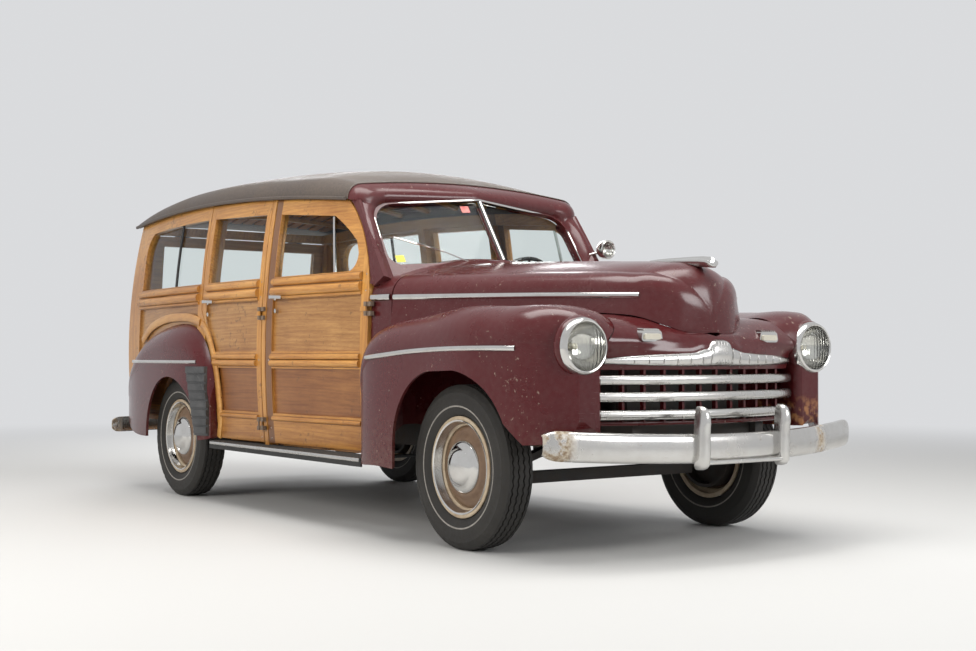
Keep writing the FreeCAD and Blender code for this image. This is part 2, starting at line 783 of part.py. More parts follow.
# Wheel profile: radius and distance outward from the tyre's middle
HUB_R = 46.0
CAP_R = 112.0
CAP_OUT = 86.0


def make_wheel(centre_u, y):
    """Pressed steel wheel with its drum, hub and domed cap, turned about the axle."""
    bead = RIM_WIDTH / 2
    rim = revolved([
        (RIM_R - 0.3, -bead), (RIM_R + 12, -bead - 1), (RIM_R + 12, -bead - 8), (RIM_R - 8, -bead - 6),
        (RIM_R - 8, -bead + 22), (RIM_R - 28, -bead + 34), (RIM_R - 28, bead - 34), (RIM_R - 8, bead - 22),
        (RIM_R - 8, bead + 6), (RIM_R + 12, bead + 8), (RIM_R + 12, bead + 1), (RIM_R - 0.3, bead),
        (RIM_R - 0.3, bead - 16), (RIM_R - 20, bead - 30), (RIM_R - 20, -bead + 30), (RIM_R - 0.3, -bead + 16),
    ], centre_u, y, TYRE_R)
    disc = revolved([
        (RIM_R - 27, -6), (RIM_R - 27, 8), (150.0, 16), (128.0, 34),
        (CAP_R, 38), (CAP_R, 46), (CAP_R - 10, 60), (74.0, 68), (66.0, CAP_OUT - 8), (40.0, CAP_OUT - 2),
        (0.0, CAP_OUT), (0.0, 44), (SPINDLE_R + RUNNING_FIT, 44), (SPINDLE_R + RUNNING_FIT, -58), (HUB_R, -58),
        (HUB_R, -30), (150.0, -30), (150.0, -84), (166.0, -84), (166.0, -6),
    ], centre_u, y, TYRE_R)
    return rim.fuse(disc)


def placed(shape, centre_u, y, side):
    """A wheel piece drawn at the middle, moved to its place on one side of the car."""
    moved = shape.translated(V(centre_u, y, 0))
    return moved if side > 0 else mirrored(moved)


FRONT_U = TRACK_FRONT / 2
REAR_U = TRACK_REAR / 2
KINGPIN_U = FRONT_U - 58 - KINGPIN_OFFSET
GEARBOX_END_Y = 900.0


def make_knuckle():
    """Steering knuckle: two eyes on the kingpin, a backing plate and the wheel's spindle."""
    z = TYRE_R
    half = STEER_EYE_H / 2
    eyes = []
    for low in (z - half - 25, z + half + 1):
        eye = Part.makeCylinder(24, 24, V(KINGPIN_U, 0, low))
        eyes.append(eye)
    web = box(KINGPIN_U + 30, KINGPIN_U + 52, -34, 34, z - half - 25, z + half + 25)
    arms = []
    for low in (z - half - 25, z + half + 1):
        arms.append(box(KINGPIN_U, KINGPIN_U + 40, -22, 22, low, low + 24))
    spindle = rod(V(KINGPIN_U + 40, 0, z), V(FRONT_U + 40, 0, z), SPINDLE_R)
    plate = rod(V(KINGPIN_U + 46, 0, z), V(KINGPIN_U + 52, 0, z), 60)
    knuckle = fuse(eyes + arms + [web, plate, spindle])
    bore = Part.makeCylinder(KINGPIN_R + RUNNING_FIT, 300, V(KINGPIN_U, 0, z - 150))
    return knuckle.cut(bore)


def make_front_axle():
    """Dropped beam axle with an eye and a kingpin at each end."""
    z = TYRE_R
    half = STEER_EYE_H / 2
    beam_z = z - 62
    beam = across([(-26, beam_z - 26), (26, beam_z - 26), (26, beam_z + 26), (-26, beam_z + 26)],
                  -KINGPIN_U + 62, KINGPIN_U - 62)
    ends = []
    for s in (-1, 1):
        u = s * KINGPIN_U
        eye = Part.makeCylinder(STEER_EYE_R, STEER_EYE_H, V(u, 0, z - half))
        pin = Part.makeCylinder(KINGPIN_R, STEER_EYE_H + 50, V(u, 0, z - half - 25))
        arm = polygon([V(s * (KINGPIN_U - 96), -22, beam_z - 26), V(s * (KINGPIN_U - 96), -22, beam_z + 26),
                       V(s * KINGPIN_U, -22, z + 28), V(s * KINGPIN_U, -22, z - 12)]).extrude(V(0, 44, 0))
        perch = box(u - s * 92 - 15, u - s * 92 + 15, -20, 20, beam_z, beam_z + 60)
        ends += [eye, pin, arm, perch]
    return fuse([beam] + ends).cut(make_springs())


def make_rear_axle():
    """Banjo housing, axle tubes, torque tube and the rear spindles."""
    z = TYRE_R
    y = WHEELBASE
    housing = Part.makeSphere(120, V(0, y, z))
    tubes = rod(V(-(REAR_U - 60), y, z), V(REAR_U - 60, y, z), 38)
    spindles = rod(V(-(REAR_U + 40), y, z), V(REAR_U + 40, y, z), SPINDLE_R)
    flanges = []
    for s in (-1, 1):
        flanges.append(rod(V(s * (REAR_U - 66), y, z), V(s * (REAR_U - 60), y, z), 60))
        flanges.append(box(s * 545 - 15, s * 545 + 15, REAR_SPRING_Y - 20, y, z - 20, z + 30))
    torque = rod(V(0, y - 60, z), V(0, GEARBOX_END_Y + 4, 450), 40)
    return fuse([housing, tubes, spindles, torque] + flanges).cut(make_springs())


REAR_SPRING_Y = WHEELBASE - 150
RAIL_U = 360.0
RAIL_W = 48.0
RAIL_H = 120.0
# Frame rail in side view: y and height of its middle
RAIL_PATH = [(-640.0, 520.0), (-200.0, 540.0), (240.0, 520.0), (520.0, 440.0), (2300.0, 440.0), (2560.0, 570.0),
             (3120.0, 570.0), (3400.0, 490.0), (3780.0, 490.0)]
# Cross members: y and height of the middle, depth along the car, height
MEMBERS = [(-560.0, 520.0, 90.0, 80.0), (0.0, 485.0, 60.0, 30.0), (470.0, 450.0, 80.0, 60.0),
           (1500.0, 485.0, 90.0, 30.0), (2430.0, 500.0, 80.0, 60.0), (REAR_SPRING_Y, 528.0, 60.0, 84.0),
           (3180.0, 570.0, 90.0, 80.0), (3735.0, 475.0, 90.0, 90.0)]
TOW_HOLE_R = 6.5
TOW_SPREAD_U = 150.0
TOW_SPREAD_Y = 25.0
EXHAUST_U = 240.0


def make_chassis():
    """Ladder frame: two kicked-up rails and their cross members."""
    top = [(y, z + RAIL_H / 2) for y, z in RAIL_PATH]
    bottom = [(y, z - RAIL_H / 2) for y, z in reversed(RAIL_PATH)]
    rail = across(top + bottom, RAIL_U - RAIL_W / 2, RAIL_U + RAIL_W / 2)
    parts = [rail, mirrored(rail)]
    inner = RAIL_U - RAIL_W / 2 + 2
    for y, z, deep, high in MEMBERS:
        parts.append(box(-inner, inner, y - deep / 2, y + deep / 2, z - high / 2, z + high / 2))
    frame = fuse(parts)
    for y, z, deep, high in (MEMBERS[0], MEMBERS[-1]):
        for u in (-TOW_SPREAD_U, TOW_SPREAD_U):
            for along in (-TOW_SPREAD_Y, TOW_SPREAD_Y):
                frame = frame.cut(Part.makeCylinder(TOW_HOLE_R, 60, V(u, y + along, z - high / 2 - 1)))
    pipe_hole = rod(V(EXHAUST_U, REAR_SPRING_Y - 60, 500), V(EXHAUST_U, REAR_SPRING_Y + 60, 500), 34)
    return frame.cut(pipe_hole)


# Transverse leaf springs: y, top of the middle, drop of the ends, reach to each side
SPRINGS = [(0.0, 470.0, 108.0, 520.0), (REAR_SPRING_Y, 486.0, 110.0, 560.0)]
SPRING_THICK = 34.0
SPRING_WIDE = 50.0


def make_springs():
    """Transverse leaf springs over both axles, one stack at each end of the car."""
    stacks = []
    for y, seat, drop, reach in SPRINGS:
        front = y - SPRING_WIDE / 2
        ends = [V(-reach, front, seat - drop), V(reach, front, seat - drop)]
        arc = Part.Arc(ends[0], V(0, front, seat), ends[1]).toShape()
        down = V(0, 0, -SPRING_THICK)
        face = Part.Face(Part.Wire([
            arc,
            Part.LineSegment(ends[1], ends[1] + down).toShape(),
            arc.translated(down),
            Part.LineSegment(ends[0] + down, ends[0]).toShape(),
        ]))
        stacks.append(face.extrude(V(0, SPRING_WIDE, 0)))
    return Part.makeCompound(stacks)


def make_engine():
    """Engine and gearbox as one plain block on the frame."""
    block = box(-230, 230, -380, 330, 500, 900)
    heads = box(-300, 300, -340, 290, 640, 860)
    gearbox = across([(320, 500), (320, 800), (500, 720), (690, 640), (840, 480), (GEARBOX_END_Y, 480),
                      (GEARBOX_END_Y, 410), (560, 480)], -130, 130)
    inner = RAIL_U - RAIL_W / 2
    mount = box(-inner, inner, -350, -290, 540, 580)
    return fuse([block, heads, gearbox, mount]).cut(make_chassis())


def make_radiator():
    """Radiator core in front of the engine, seen through the grille."""
    return box(-330, 330, -545, -475, 560, 905)


EXHAUST_Z = 388.0


def make_exhaust():
    """Silencer and tail pipe under the floor, on one hanger."""
    u = 210.0
    z = EXHAUST_Z
    muffler = rod(V(u, 1250, z), V(u, 1800, z), 66)
    hanger = box(u - 10, u + 10, 1480, 1520, z + 40, 470)
    front = rod(V(u, 620, z), V(u, 1260, z), 24)
    rear = rod(V(u, 1790, z), V(u, 2500, z), 24)
    rise = rod(V(u, 2490, z), V(EXHAUST_U, 2700, 500), 24)
    tail = rod(V(EXHAUST_U, 2690, 500), V(EXHAUST_U, 4010, 370), 24)
    joint_a = Part.makeSphere(26, V(u, 2495, z))
    joint_b = Part.makeSphere(26, V(EXHAUST_U, 2695, 500))
    return fuse([muffler, hanger, front, rear, rise, tail, joint_a, joint_b])


def make_tank():
    """Fuel tank against one rail behind the rear axle."""
    side = RAIL_U - RAIL_W / 2
    tank = box(-side, 180, 3280, 3670, 300, 470)
    return tank.makeFillet(30, [e for e in tank.Edges if e.BoundBox.ZMax < 301])


FLOOR_Z = 500.0
FLOOR_T = 16.0
FIREWALL_Y = 730.0
REAR_FLOOR_Z = 630.0
FLOOR_END_Y = 3786.0


def make_floor():
    """Floor, toe board and firewall, with boxes over the rear wheels."""
    t = FLOOR_T
    rise = REAR_FLOOR_Z
    side = across([(FIREWALL_Y, 760), (FIREWALL_Y - t, 760), (FIREWALL_Y - t, 700), (860, FLOOR_Z),
                   (2300, FLOOR_Z), (2520, rise), (FLOOR_END_Y, rise), (FLOOR_END_Y, rise + t),
                   (2512, rise + t), (2292, FLOOR_Z + t), (868, FLOOR_Z + t), (FIREWALL_Y, 708)],
                  -660, 660)
    edges = []
    for s in (-1, 1):
        edges.append(upright([(s * 640, 900), (s * 684, 900), (s * 760, 1800), (s * 770, 2300), (s * 640, 2300)],
                             FLOOR_Z, FLOOR_Z + t))
        edges.append(upright([(s * 640, 2520), (s * 790, 2520), (s * 740, FLOOR_END_Y), (s * 640, FLOOR_END_Y)],
                             rise, rise + t))
    firewall = box(-720, 720, FIREWALL_Y - t, FIREWALL_Y, 700, 1240).common(cowl_space())
    sheet = fuse([side, firewall] + edges)
    covers = []
    hollows = []
    for s in (-1, 1):
        u = s * 618
        cover = Part.makeCylinder(416, 170, V(u, WHEELBASE, TYRE_R), V(s, 0, 0))
        covers.append(cover.common(box(-900, 900, 2300, 3500, FLOOR_Z + 100, 1000)))
        hollows.append(Part.makeCylinder(402, 200, V(s * 632, WHEELBASE, TYRE_R), V(s, 0, 0)))
    sheet = fuse([sheet] + covers)
    for hollow in hollows:
        sheet = sheet.cut(hollow)
    wall = side_slab(200, 200 + WALL, FIREWALL_Y + 40, 3900, 300, 1300)
    return largest(sheet.cut(wall).cut(mirrored(wall)))


def make_running_boards():
    """Steps between the wings, on brackets from the frame."""
    board = across([(712, 330), (712, 356), (2384, 356), (2384, 330)], 790, 872)
    lip = across([(712, 312), (712, 356), (2384, 356), (2384, 312)], 862, 872)
    arms = []
    for y in (900.0, 1300.0, 2150.0):
        arms.append(box(RAIL_U - 20, 800, y, y + 60, 330, 342))
        arms.append(box(RAIL_U - 20, RAIL_U + 20, y, y + 60, 330, 440 - RAIL_H / 2))
    return pair(fuse([board, lip] + arms))


REAR_PROFILE = ((3838.0, 430.0), (3874.0, 1000.0), (3800.0, 1680.0))
REAR_CY, REAR_CZ, REAR_R = circle_through(*REAR_PROFILE)


def rear_slab(out, thick, u0, u1, z0, z1):
    """A piece of the rear wall: an upright arc drawn across the car."""
    outer = REAR_R + out
    inner = outer - thick

    def point(radius, z):
        return V(u0, REAR_CY + math.sqrt(radius ** 2 - (z - REAR_CZ) ** 2), z)

    middle = (z0 + z1) / 2
    edges = [
        Part.Arc(point(outer, z0), point(outer, middle), point(outer, z1)).toShape(),
        Part.LineSegment(point(outer, z1), point(inner, z1)).toShape(),
        Part.Arc(point(inner, z1), point(inner, middle), point(inner, z0)).toShape(),
        Part.LineSegment(point(inner, z0), point(outer, z0)).toShape(),
    ]
    return Part.Face(Part.Wire(edges)).extrude(V(u1 - u0, 0, 0))


GATE_U = 640.0
TAILGATE_LOW = 640.0
GATE_SPLIT = 1196.0
LIFTGATE_TOP = 1622.0


def quarter_window():
    """The long side window behind the rear door."""
    low = WINDOW_Z
    front = C_SEAM_Y + 36
    rear = 3620.0
    return wire_yz([
        (front, low),
        (rear, low),
        (rear, 1480),
        (rear - 120, drip_z(rear - 120) - 84, rear - 34, 1562),
        (front, drip_z(front) - 84, 3060, drip_z(3060) - 84),
    ])


def make_body_frame(floor):
    """Wooden quarters, posts, roof rails and the rear frame."""
    top = 1740.0
    quarter = side_slab(0, WALL, C_SEAM_Y + SEAM - 60, 3880, 436, top)
    quarter = quarter.cut(side_slab(5, PANEL_RECESS + 5, C_SEAM_Y + 60, 3640, 470, PANELS[0][1]))
    beads = [side_bead(z, r, C_SEAM_Y + 50, 3652) for z, r, end_over_wing in BEADS[:3]]
    quarter = quarter.multiFuse(beads)
    quarter = quarter.cut(side_slab(-WALL, 60, 2400, 3900, 300, 1740))
    quarter = quarter.cut(side_prism(rear_door_outline(SEAM)))
    quarter = quarter.cut(box(0, 1000, 1500, C_SEAM_Y + SEAM, 1100, 2000))
    quarter = quarter.cut(side_prism(quarter_window()))
    wheel_gap = Part.makeCylinder(404, 400, V(600, WHEELBASE, TYRE_R), V(1, 0, 0))
    quarter = quarter.cut(wheel_gap)
    post_b = side_slab(0, 84, B_POST_Y + SEAM, REAR_DOOR_Y - SEAM, 352, top)
    post_c = side_slab(-WALL - SEAM, 40, C_SEAM_Y - 30, C_SEAM_Y + 40, FLOOR_Z + 140, top)
    joint_c = side_slab(-WALL + 2, SEAM + 4, C_SEAM_Y + SEAM, C_SEAM_Y + 40, FLOOR_Z + 600, top)
    rail = side_slab(-WALL - SEAM, 44, 1070, 3800, 1500, top)
    low_rail = wire_yz([(1060, 1300), (1060, drip_z(1060) - 64), (3820, drip_z(3820) - 64, 2440, drip_z(2440) - 64),
                        (3820, 1300)])
    rail = rail.cut(side_prism(low_rail))
    sill = side_slab(-WALL - SEAM, 54, DOOR_FRONT_Y - SEAM + HEADER_PLAY, 2330, 352, FLOOR_Z)
    rear = rear_slab(0, 46, 0, 790, 436, top)
    rear = rear.cut(side_slab(200, 200, 3600, 3900, 300, top + 10))
    corner = side_slab(0, 100, 3760, 3900, 436, top).common(rear_slab(0, 100, 0, 900, 436, top))
    half = quarter.multiFuse([post_b, post_c, joint_c, rail, sill, rear, corner])
    cut_top = wire_yz([(500, 2200), (500, drip_z(1000) - HEADER_PLAY), (1000, drip_z(1000) - HEADER_PLAY),
                       (3890, drip_z(3890) - HEADER_PLAY, 2440, drip_z(2440) - HEADER_PLAY), (3890, 2200)])
    half = half.cut(side_prism(cut_top))
    half = half.cut(rear_slab(60, 60, -10, 1000, 300, 1900))
    half = half.cut(box(-10, GATE_U, 3600, 3950, TAILGATE_LOW - SEAM, LIFTGATE_TOP + SEAM))
    half = largest(half.cut(floor))
    return half.fuse(mirrored(half))


def make_quarter_glass():
    """Fixed panes of the quarter windows."""
    return pair(glass_pane(quarter_window()))


def make_liftgate():
    """Upper rear gate: wooden frame round a pane, hung at the roof."""
    gate = rear_slab(0, WALL, -GATE_U + SEAM, GATE_U - SEAM, GATE_SPLIT + SEAM / 2, LIFTGATE_TOP)
    hole = rear_slab(40, 140, -GATE_U + 80, GATE_U - 80, GATE_SPLIT + 70, LIFTGATE_TOP - 64)
    return fuse([gate.cut(hole)] + gate_leaves(LIFTGATE_AXIS, -1))


def make_liftgate_glass():
    """Pane of the upper rear gate."""
    return rear_slab(-18, GLASS, -GATE_U + 80, GATE_U - 80, GATE_SPLIT + 70, LIFTGATE_TOP - 64)


def make_tailgate():
    """Lower rear gate: framed wooden panel, hinged at its foot."""
    gate = rear_slab(0, WALL, -GATE_U + SEAM, GATE_U - SEAM, TAILGATE_LOW, GATE_SPLIT - SEAM / 2)
    for u0, u1 in ((-GATE_U + 70, -30), (30, GATE_U - 70)):
        gate = gate.cut(rear_slab(5, PANEL_RECESS + 5, u0, u1, TAILGATE_LOW + 80, GATE_SPLIT - 90))
    return fuse([gate] + gate_leaves(TAILGATE_AXIS, 1))


def make_roof_pieces():
    """Roof skin, split at the seam between the steel cap and the covered roof."""
    outer = roof_solid(0)
    front = cabin_front(0)
    outer_front = outer.common(box(-900, 900, 900, 1500, 1400, 2000)).common(front)
    outer_rear = outer.common(box(-900, 900, 1500, 3900, 1400, 2000))
    inner = roof_solid(ROOF_THICK)
    inner_front = inner.common(box(-900, 900, 900, 1500, 1300, 2000)).common(cabin_front(ROOF_THICK + 10))
    cap = outer_front.cut(inner_front)
    main = outer_rear.cut(inner.common(box(-900, 900, 1499, 3850, 1300, 2000)))
    return cap, main


COWL_LOW_Z = 372.0
SCUTTLE_STEEL = 22.0


def cowl_form(inset, drop):
    """The scuttle between hood and doors: its outer form, or the space under it."""
    w_rear = side_u(DOOR_FRONT_Y, 1000) + 6
    sections = [
        hood_section(HOOD_REAR_Y + HOOD_GAP - drop, 714 - inset, COWL_LOW_Z - drop, 702 - inset, 1222 - inset,
                     1301 - inset, 110 - inset / 2),
        hood_section(DOOR_FRONT_Y + 60 + drop, w_rear - inset, COWL_LOW_Z - drop, 730 - inset, 1226 - inset,
                     1352 - inset, 110 - inset / 2),
    ]
    return Part.makeLoft(sections, True, True)


def cowl_space():
    """The room inside the scuttle."""
    return cowl_form(SCUTTLE_STEEL, 20)


def right_half():
    """The space on the car's right, in which the scuttle and header are made before they are mirrored."""
    return box(-900, 0, 400, 1600, 300, 2100)


def door_room():
    """Room of the front door on the car's right, up to the roof's edge."""
    top_gap = wire_yz([(FRONT_EDGE_TOP_Y - SEAM, 1000), (FRONT_EDGE_TOP_Y - SEAM, drip_z(FRONT_EDGE_TOP_Y)),
                       (1600, drip_z(1600), 1350, drip_z(1350)), (1600, 1000)])
    return [mirrored(side_prism(top_gap)), mirrored(side_prism(front_door_outline(SEAM)))]


def screen_hole():
    """The opening of the windscreen's right pane."""
    return mirrored(screen_slab(SCREEN_OPENING, SCREEN_RADII, -60, 120))


def make_header(cap):
    """Steel header over the windscreen, the front end of the roof."""
    for room in [screen_hole()] + door_room():
        cap = cap.cut(room).cut(mirrored(room))
    return largest(cap)


# Plan of a screen pillar in the screen's own measures: place across the screen, depth behind its plane
PILLAR_PLAN = [(600.0, 44.0), (600.0, -5.0), (637.0, -5.0), (690.0, -44.0), (740.0, -60.0), (740.0, 44.0)]
PILLAR_LOW_T = -160.0
PILLAR_HIGH_T = 420.0
PILLAR_POST_IN = 60.0
PILLAR_REAR_Y = 1072.0


def screen_pillar(door_gap):
    """The screen's left pillar: a plate in front of the door and a post behind its window frame."""
    face = polygon([screen_point(s, PILLAR_LOW_T, depth) for s, depth in PILLAR_PLAN])
    bar = face.extrude(screen_point(0, PILLAR_HIGH_T, 0) - screen_point(0, PILLAR_LOW_T, 0))
    plate = bar.common(side_slab(-1, 150, 760, 1130, 1170, 1640)).cut(side_prism(door_gap))
    post = bar.common(side_slab(-PILLAR_POST_IN, 90, 760, 1130, 1170, 1640))
    return plate.fuse(post).cut(mirrored(screen_hole()))


def make_cowl():
    """Steel scuttle with the screen pillars, under the header."""
    right = right_half()
    scuttle = cowl_form(0, 0).cut(cowl_space()).cut(cabin_front(34)).common(right)
    slot = screen_slab(SCREEN_OPENING, SCREEN_RADII, PANE_DEPTH - HEADER_PLAY, PANE_DEPTH + GLASS + HEADER_PLAY)
    scuttle = scuttle.cut(mirrored(slot))
    pillars = cabin_front(0).cut(cabin_front(34)).common(right).cut(screen_hole())
    pillars = pillars.cut(box(-900, 900, 400, 2000, 1000, BELT_Z - 10))
    pillars = pillars.cut(box(-900, 900, 400, HOOD_REAR_Y + HOOD_GAP, 1000, 1400)).cut(cowl_space())
    under_header = wire_yz([(500, 1000), (500, drip_z(930) - HEADER_PLAY), (930, drip_z(930) - HEADER_PLAY),
                            (1600, drip_z(1600) - HEADER_PLAY, 1265, drip_z(1265) - HEADER_PLAY), (1600, 1000)])
    low_room = wire_yz([(500, 200), (500, 1000), (1600, 1000), (1600, 200)])
    edge = DOOR_FRONT_Y - SEAM
    door_gap = wire_yz([(edge, 200), (edge, BELT_Z - 40),
                        (FRONT_EDGE_TOP_Y - SEAM, drip_z(FRONT_EDGE_TOP_Y), FRONT_EDGE_VIA[0] - SEAM,
                         FRONT_EDGE_VIA[1]),
                        (FRONT_EDGE_TOP_Y + 20, 1800), (1600, 1800), (1600, 200)])
    half = scuttle.fuse(pillars).cut(mirrored(side_prism(door_gap)))
    half = half.fuse(mirrored(screen_pillar(door_gap)).cut(cowl_space()))
    half = half.common(mirrored(side_prism(under_header)).fuse(mirrored(side_prism(low_room))))
    half = half.cut(box(-900, 0, PILLAR_REAR_Y, 1600, 1100, 1800))
    half = largest(half.cut(hood_barrels(HOOD_BARREL_R + 2)))
    return largest(half.fuse(mirrored(half)))


def make_windscreen():
    """The two flat panes of the screen."""
    corners = []
    for i, (s, t) in enumerate(SCREEN_OPENING):
        in_s = SCREEN_PLAY if i in (0, 3) else -SCREEN_PLAY
        in_t = SCREEN_PLAY if i in (0, 1) else -SCREEN_PLAY
        corners.append((s + in_s, t + in_t))
    pane = screen_slab(corners, SCREEN_RADII, PANE_DEPTH, PANE_DEPTH + GLASS)
    return pair(pane)


NOSE_CENTRE_Y = 569.0
BAR_MID_Y = -768.0


def front_arc_slab(y_mid, thick, u0, u1, z0, z1):
    """A piece of a shell that bows forward in plan, between two heights."""
    centre = V(0, NOSE_CENTRE_Y, z0)
    radius = NOSE_CENTRE_Y - y_mid
    outer = Part.makeCylinder(radius, z1 - z0, centre)
    inner = Part.makeCylinder(radius - thick, z1 - z0, centre)
    return outer.cut(inner).common(box(u0, u1, -1000, -300, z0 - 1, z1 + 1))


def make_nose_panel():
    """Painted panel between the wings, above and round the grille opening."""
    upper = front_arc_slab(-738, STEEL, -560, 560, 776, 926)
    top = front_arc_slab(-738, 200, -464, 464, 912, 926)
    top = top.cut(hood_solid(-8, 40))
    lower = front_arc_slab(-738, STEEL, -560, 560, 548, 566)
    ribs = []
    for i in range(-5, 6):
        u = i * 90.0
        ribs.append(front_arc_slab(-738, 22, u - 6, u + 6, 560, 780))
    panel = fuse([upper, top, lower] + ribs)
    wing = wing_solid(0)
    return largest(panel.cut(wing).cut(mirrored(wing)))


def make_grille():
    """Three bowed bright bars."""
    bars = []
    for z, reach in ((734.0, 560.0), (665.0, 561.0), (592.0, 559.0)):
        bar = front_arc_slab(BAR_MID_Y, 29.7, -reach, reach, z - 20, z + 20)
        bars.append(bar)
    return Part.makeCompound(bars)


def make_crown():
    """Bright winged moulding over the grille with a raised middle block."""
    wing = front_arc_slab(BAR_MID_Y, 29.7, -540, 540, 790, 842)
    middle = front_arc_slab(BAR_MID_Y - 8, 37.7, -110, 110, 786, 868)
    block = front_arc_slab(BAR_MID_Y - 16, 45.7, -52, 52, 782, 898)
    return fuse([wing, middle, block])


def make_lamps(cowl):
    """Headlamp bodies with their rims, parking lamps, the spot lamp and the tail lamps."""
    shell = Part.makeCylinder(LAMP_R - 14, 120, V(LAMP_U, LAMP_Y - 22, LAMP_Z), V(0, 1, 0))
    rim = Part.makeCylinder(LAMP_R, 26, V(LAMP_U, LAMP_Y - 26, LAMP_Z), V(0, 1, 0))
    wing = wing_solid(0)
    rim = rim.cut(wing)
    hollow = Part.makeCylinder(LAMP_R - 22, 100, V(LAMP_U, LAMP_Y - 30, LAMP_Z), V(0, 1, 0))
    head = fuse([shell, rim]).cut(hollow)
    park = box(344 - 62, 344 + 62, -730, -652, 892, 936)
    park = park.cut(front_arc_slab(-738, 160, -464, 464, 776, 1000))
    park = largest(park)
    tail = Part.makeCylinder(46, 60, V(700, 3858, 960), V(0, 1, 0)).cut(rear_slab(0, 80, 600, 800, 800, 1100))
    spot = Part.makeSphere(52, V(725, 815, 1408)).cut(box(600, 900, 600, 792, 1300, 1500))
    stalk = rod(V(722, 830, 1400), V(660, 905, 1378), 8).cut(cowl)
    spot = largest(spot.fuse(stalk))
    return Part.makeCompound([head, mirrored(head), park, mirrored(park), tail, mirrored(tail), spot])


def make_lenses():
    """Domed headlamp glasses."""
    dome = Part.makeSphere(300, V(LAMP_U, LAMP_Y - 34 + 300, LAMP_Z))
    dome = dome.cut(Part.makeSphere(294, V(LAMP_U, LAMP_Y - 34 + 300, LAMP_Z)))
    lens = dome.common(Part.makeCylinder(LAMP_R - 22.3, 60, V(LAMP_U, LAMP_Y - 50, LAMP_Z), V(0, 1, 0)))
    return pair(lens)


def bowed_bar(y_mid, half, sag, z_mid, z_end):
    """A bumper bar: bowed in plan, between a lower and an upper edge that may rise to the ends."""
    radius = (half * half + sag * sag) / (2 * sag)
    toward = 1 if sag > 0 else -1
    radius = abs(radius)
    centre = V(0, y_mid + toward * radius, 0)
    tube = Part.makeCylinder(radius, 900, centre).cut(Part.makeCylinder(radius - BUMPER_THICK, 900, centre))
    tube = tube.common(box(-half, half, min(y_mid, y_mid + sag) - 1, max(y_mid, y_mid + sag) + 40, 0, 900))
    y0 = y_mid - 500
    low = Part.Arc(V(-half, y0, z_end[0]), V(0, y0, z_mid[0]), V(half, y0, z_end[0])).toShape()
    high = Part.Arc(V(half, y0, z_end[1]), V(0, y0, z_mid[1]), V(-half, y0, z_end[1])).toShape()
    right = Part.LineSegment(V(half, y0, z_end[0]), V(half, y0, z_end[1])).toShape()
    left = Part.LineSegment(V(-half, y0, z_end[1]), V(-half, y0, z_end[0])).toShape()
    band = Part.Face(Part.Wire([low, right, high, left])).extrude(V(0, 1000, 0))
    return tube.common(band)


def make_front_bumper():
    """Bowed steel bar with two guards and the irons that hold it to the frame."""
    bar = bowed_bar(BUMPER_FRONT_Y, 892.0, 188.0, (397.0, 516.0), (428.0, 543.0))
    pieces = [bar]
    end = RAIL_PATH[0][0]
    for s in (-1, 1):
        u = s * 233.0
        guard = across([(GUARD_FRONT_Y, 400), (GUARD_FRONT_Y, 600), (-905, 629), (-866, 629), (-866, 374),
                        (-905, 374)], u - 27, u + 27, [20, 20, 12, 6, 6, 12])
        pieces.append(guard)
        rail = s * RAIL_U
        pieces.append(box(rail - 18, rail + 18, BUMPER_FRONT_Y + 34, end, 470, 482))
        pieces.append(box(rail - 18, rail + 18, BUMPER_FRONT_Y + 40, BUMPER_FRONT_Y + 52, 440, 500))
        pieces.append(box(rail - 18, rail + 18, end - 12, end, 470, 570))
    return fuse(pieces)


def make_rear_bumper():
    """Bowed steel bar behind the tailgate, on irons under the frame rails."""
    bar = bowed_bar(BUMPER_REAR_Y, 860.0, -150.0, (334.0, 432.0), (338.0, 428.0))
    foot = RAIL_PATH[-1][1] - RAIL_H / 2
    irons = []
    for s in (-1, 1):
        rail = s * RAIL_U
        irons.append(box(rail - 18, rail + 18, RAIL_PATH[-1][0] - 120, BUMPER_REAR_Y - 36, foot - 12, foot))
        irons.append(box(rail - 18, rail + 18, BUMPER_REAR_Y - 48, BUMPER_REAR_Y - 30, 350, foot))
    return fuse([bar] + irons)


def bench(y, z, half, deep, back_high, lean, floor_top):
    """A bench seat: cushion and leaning back rest on a low box."""
    cushion = across([(y, z), (y, z + 150), (y + deep, z + 120), (y + deep, z)], -half, half,
                     [20, 45, 20, 10])
    back = across([(y + deep - 20, z + 60), (y + deep - 70 + lean, z + back_high),
                   (y + deep + 40 + lean, z + back_high), (y + deep + 90, z + 60)], -half, half,
                  [10, 40, 40, 10])
    base = box(-half + 60, half - 60, y + 60, y + deep - 100, floor_top, z + 10)
    return [fuse([base, cushion, back])]


def make_seats():
    """Three bench seats."""
    low = FLOOR_Z + FLOOR_T
    front = bench(1290.0, 700.0, 620.0, 440.0, 520.0, 80.0, low)
    middle = bench(1985.0, 700.0, 600.0, 400.0, 500.0, 60.0, low)
    rear = bench(2860.0, 800.0, 540.0, 380.0, 440.0, 60.0, REAR_FLOOR_Z + FLOOR_T)
    return Part.makeCompound(front + middle + rear)


def make_dashboard():
    """Instrument panel across the cabin, up against the inside of the scuttle."""
    plan = [(0, 812), (620, 922), (620, 948), (-620, 948), (-620, 922)]
    return largest(upright(plan, DASH_LOW_Z, 1300).common(cowl_space()))


DASH_LOW_Z = 1104.0
WHEEL_U = 370.0
WHEEL_CENTRE = V(WHEEL_U, 1130, 1180)
WHEEL_AXIS = V(0, -0.86, -0.51)
WHEEL_R = 205.0
COLUMN_START = 40.0
COLUMN_R = 20.0
SHAFT_R = 9.0


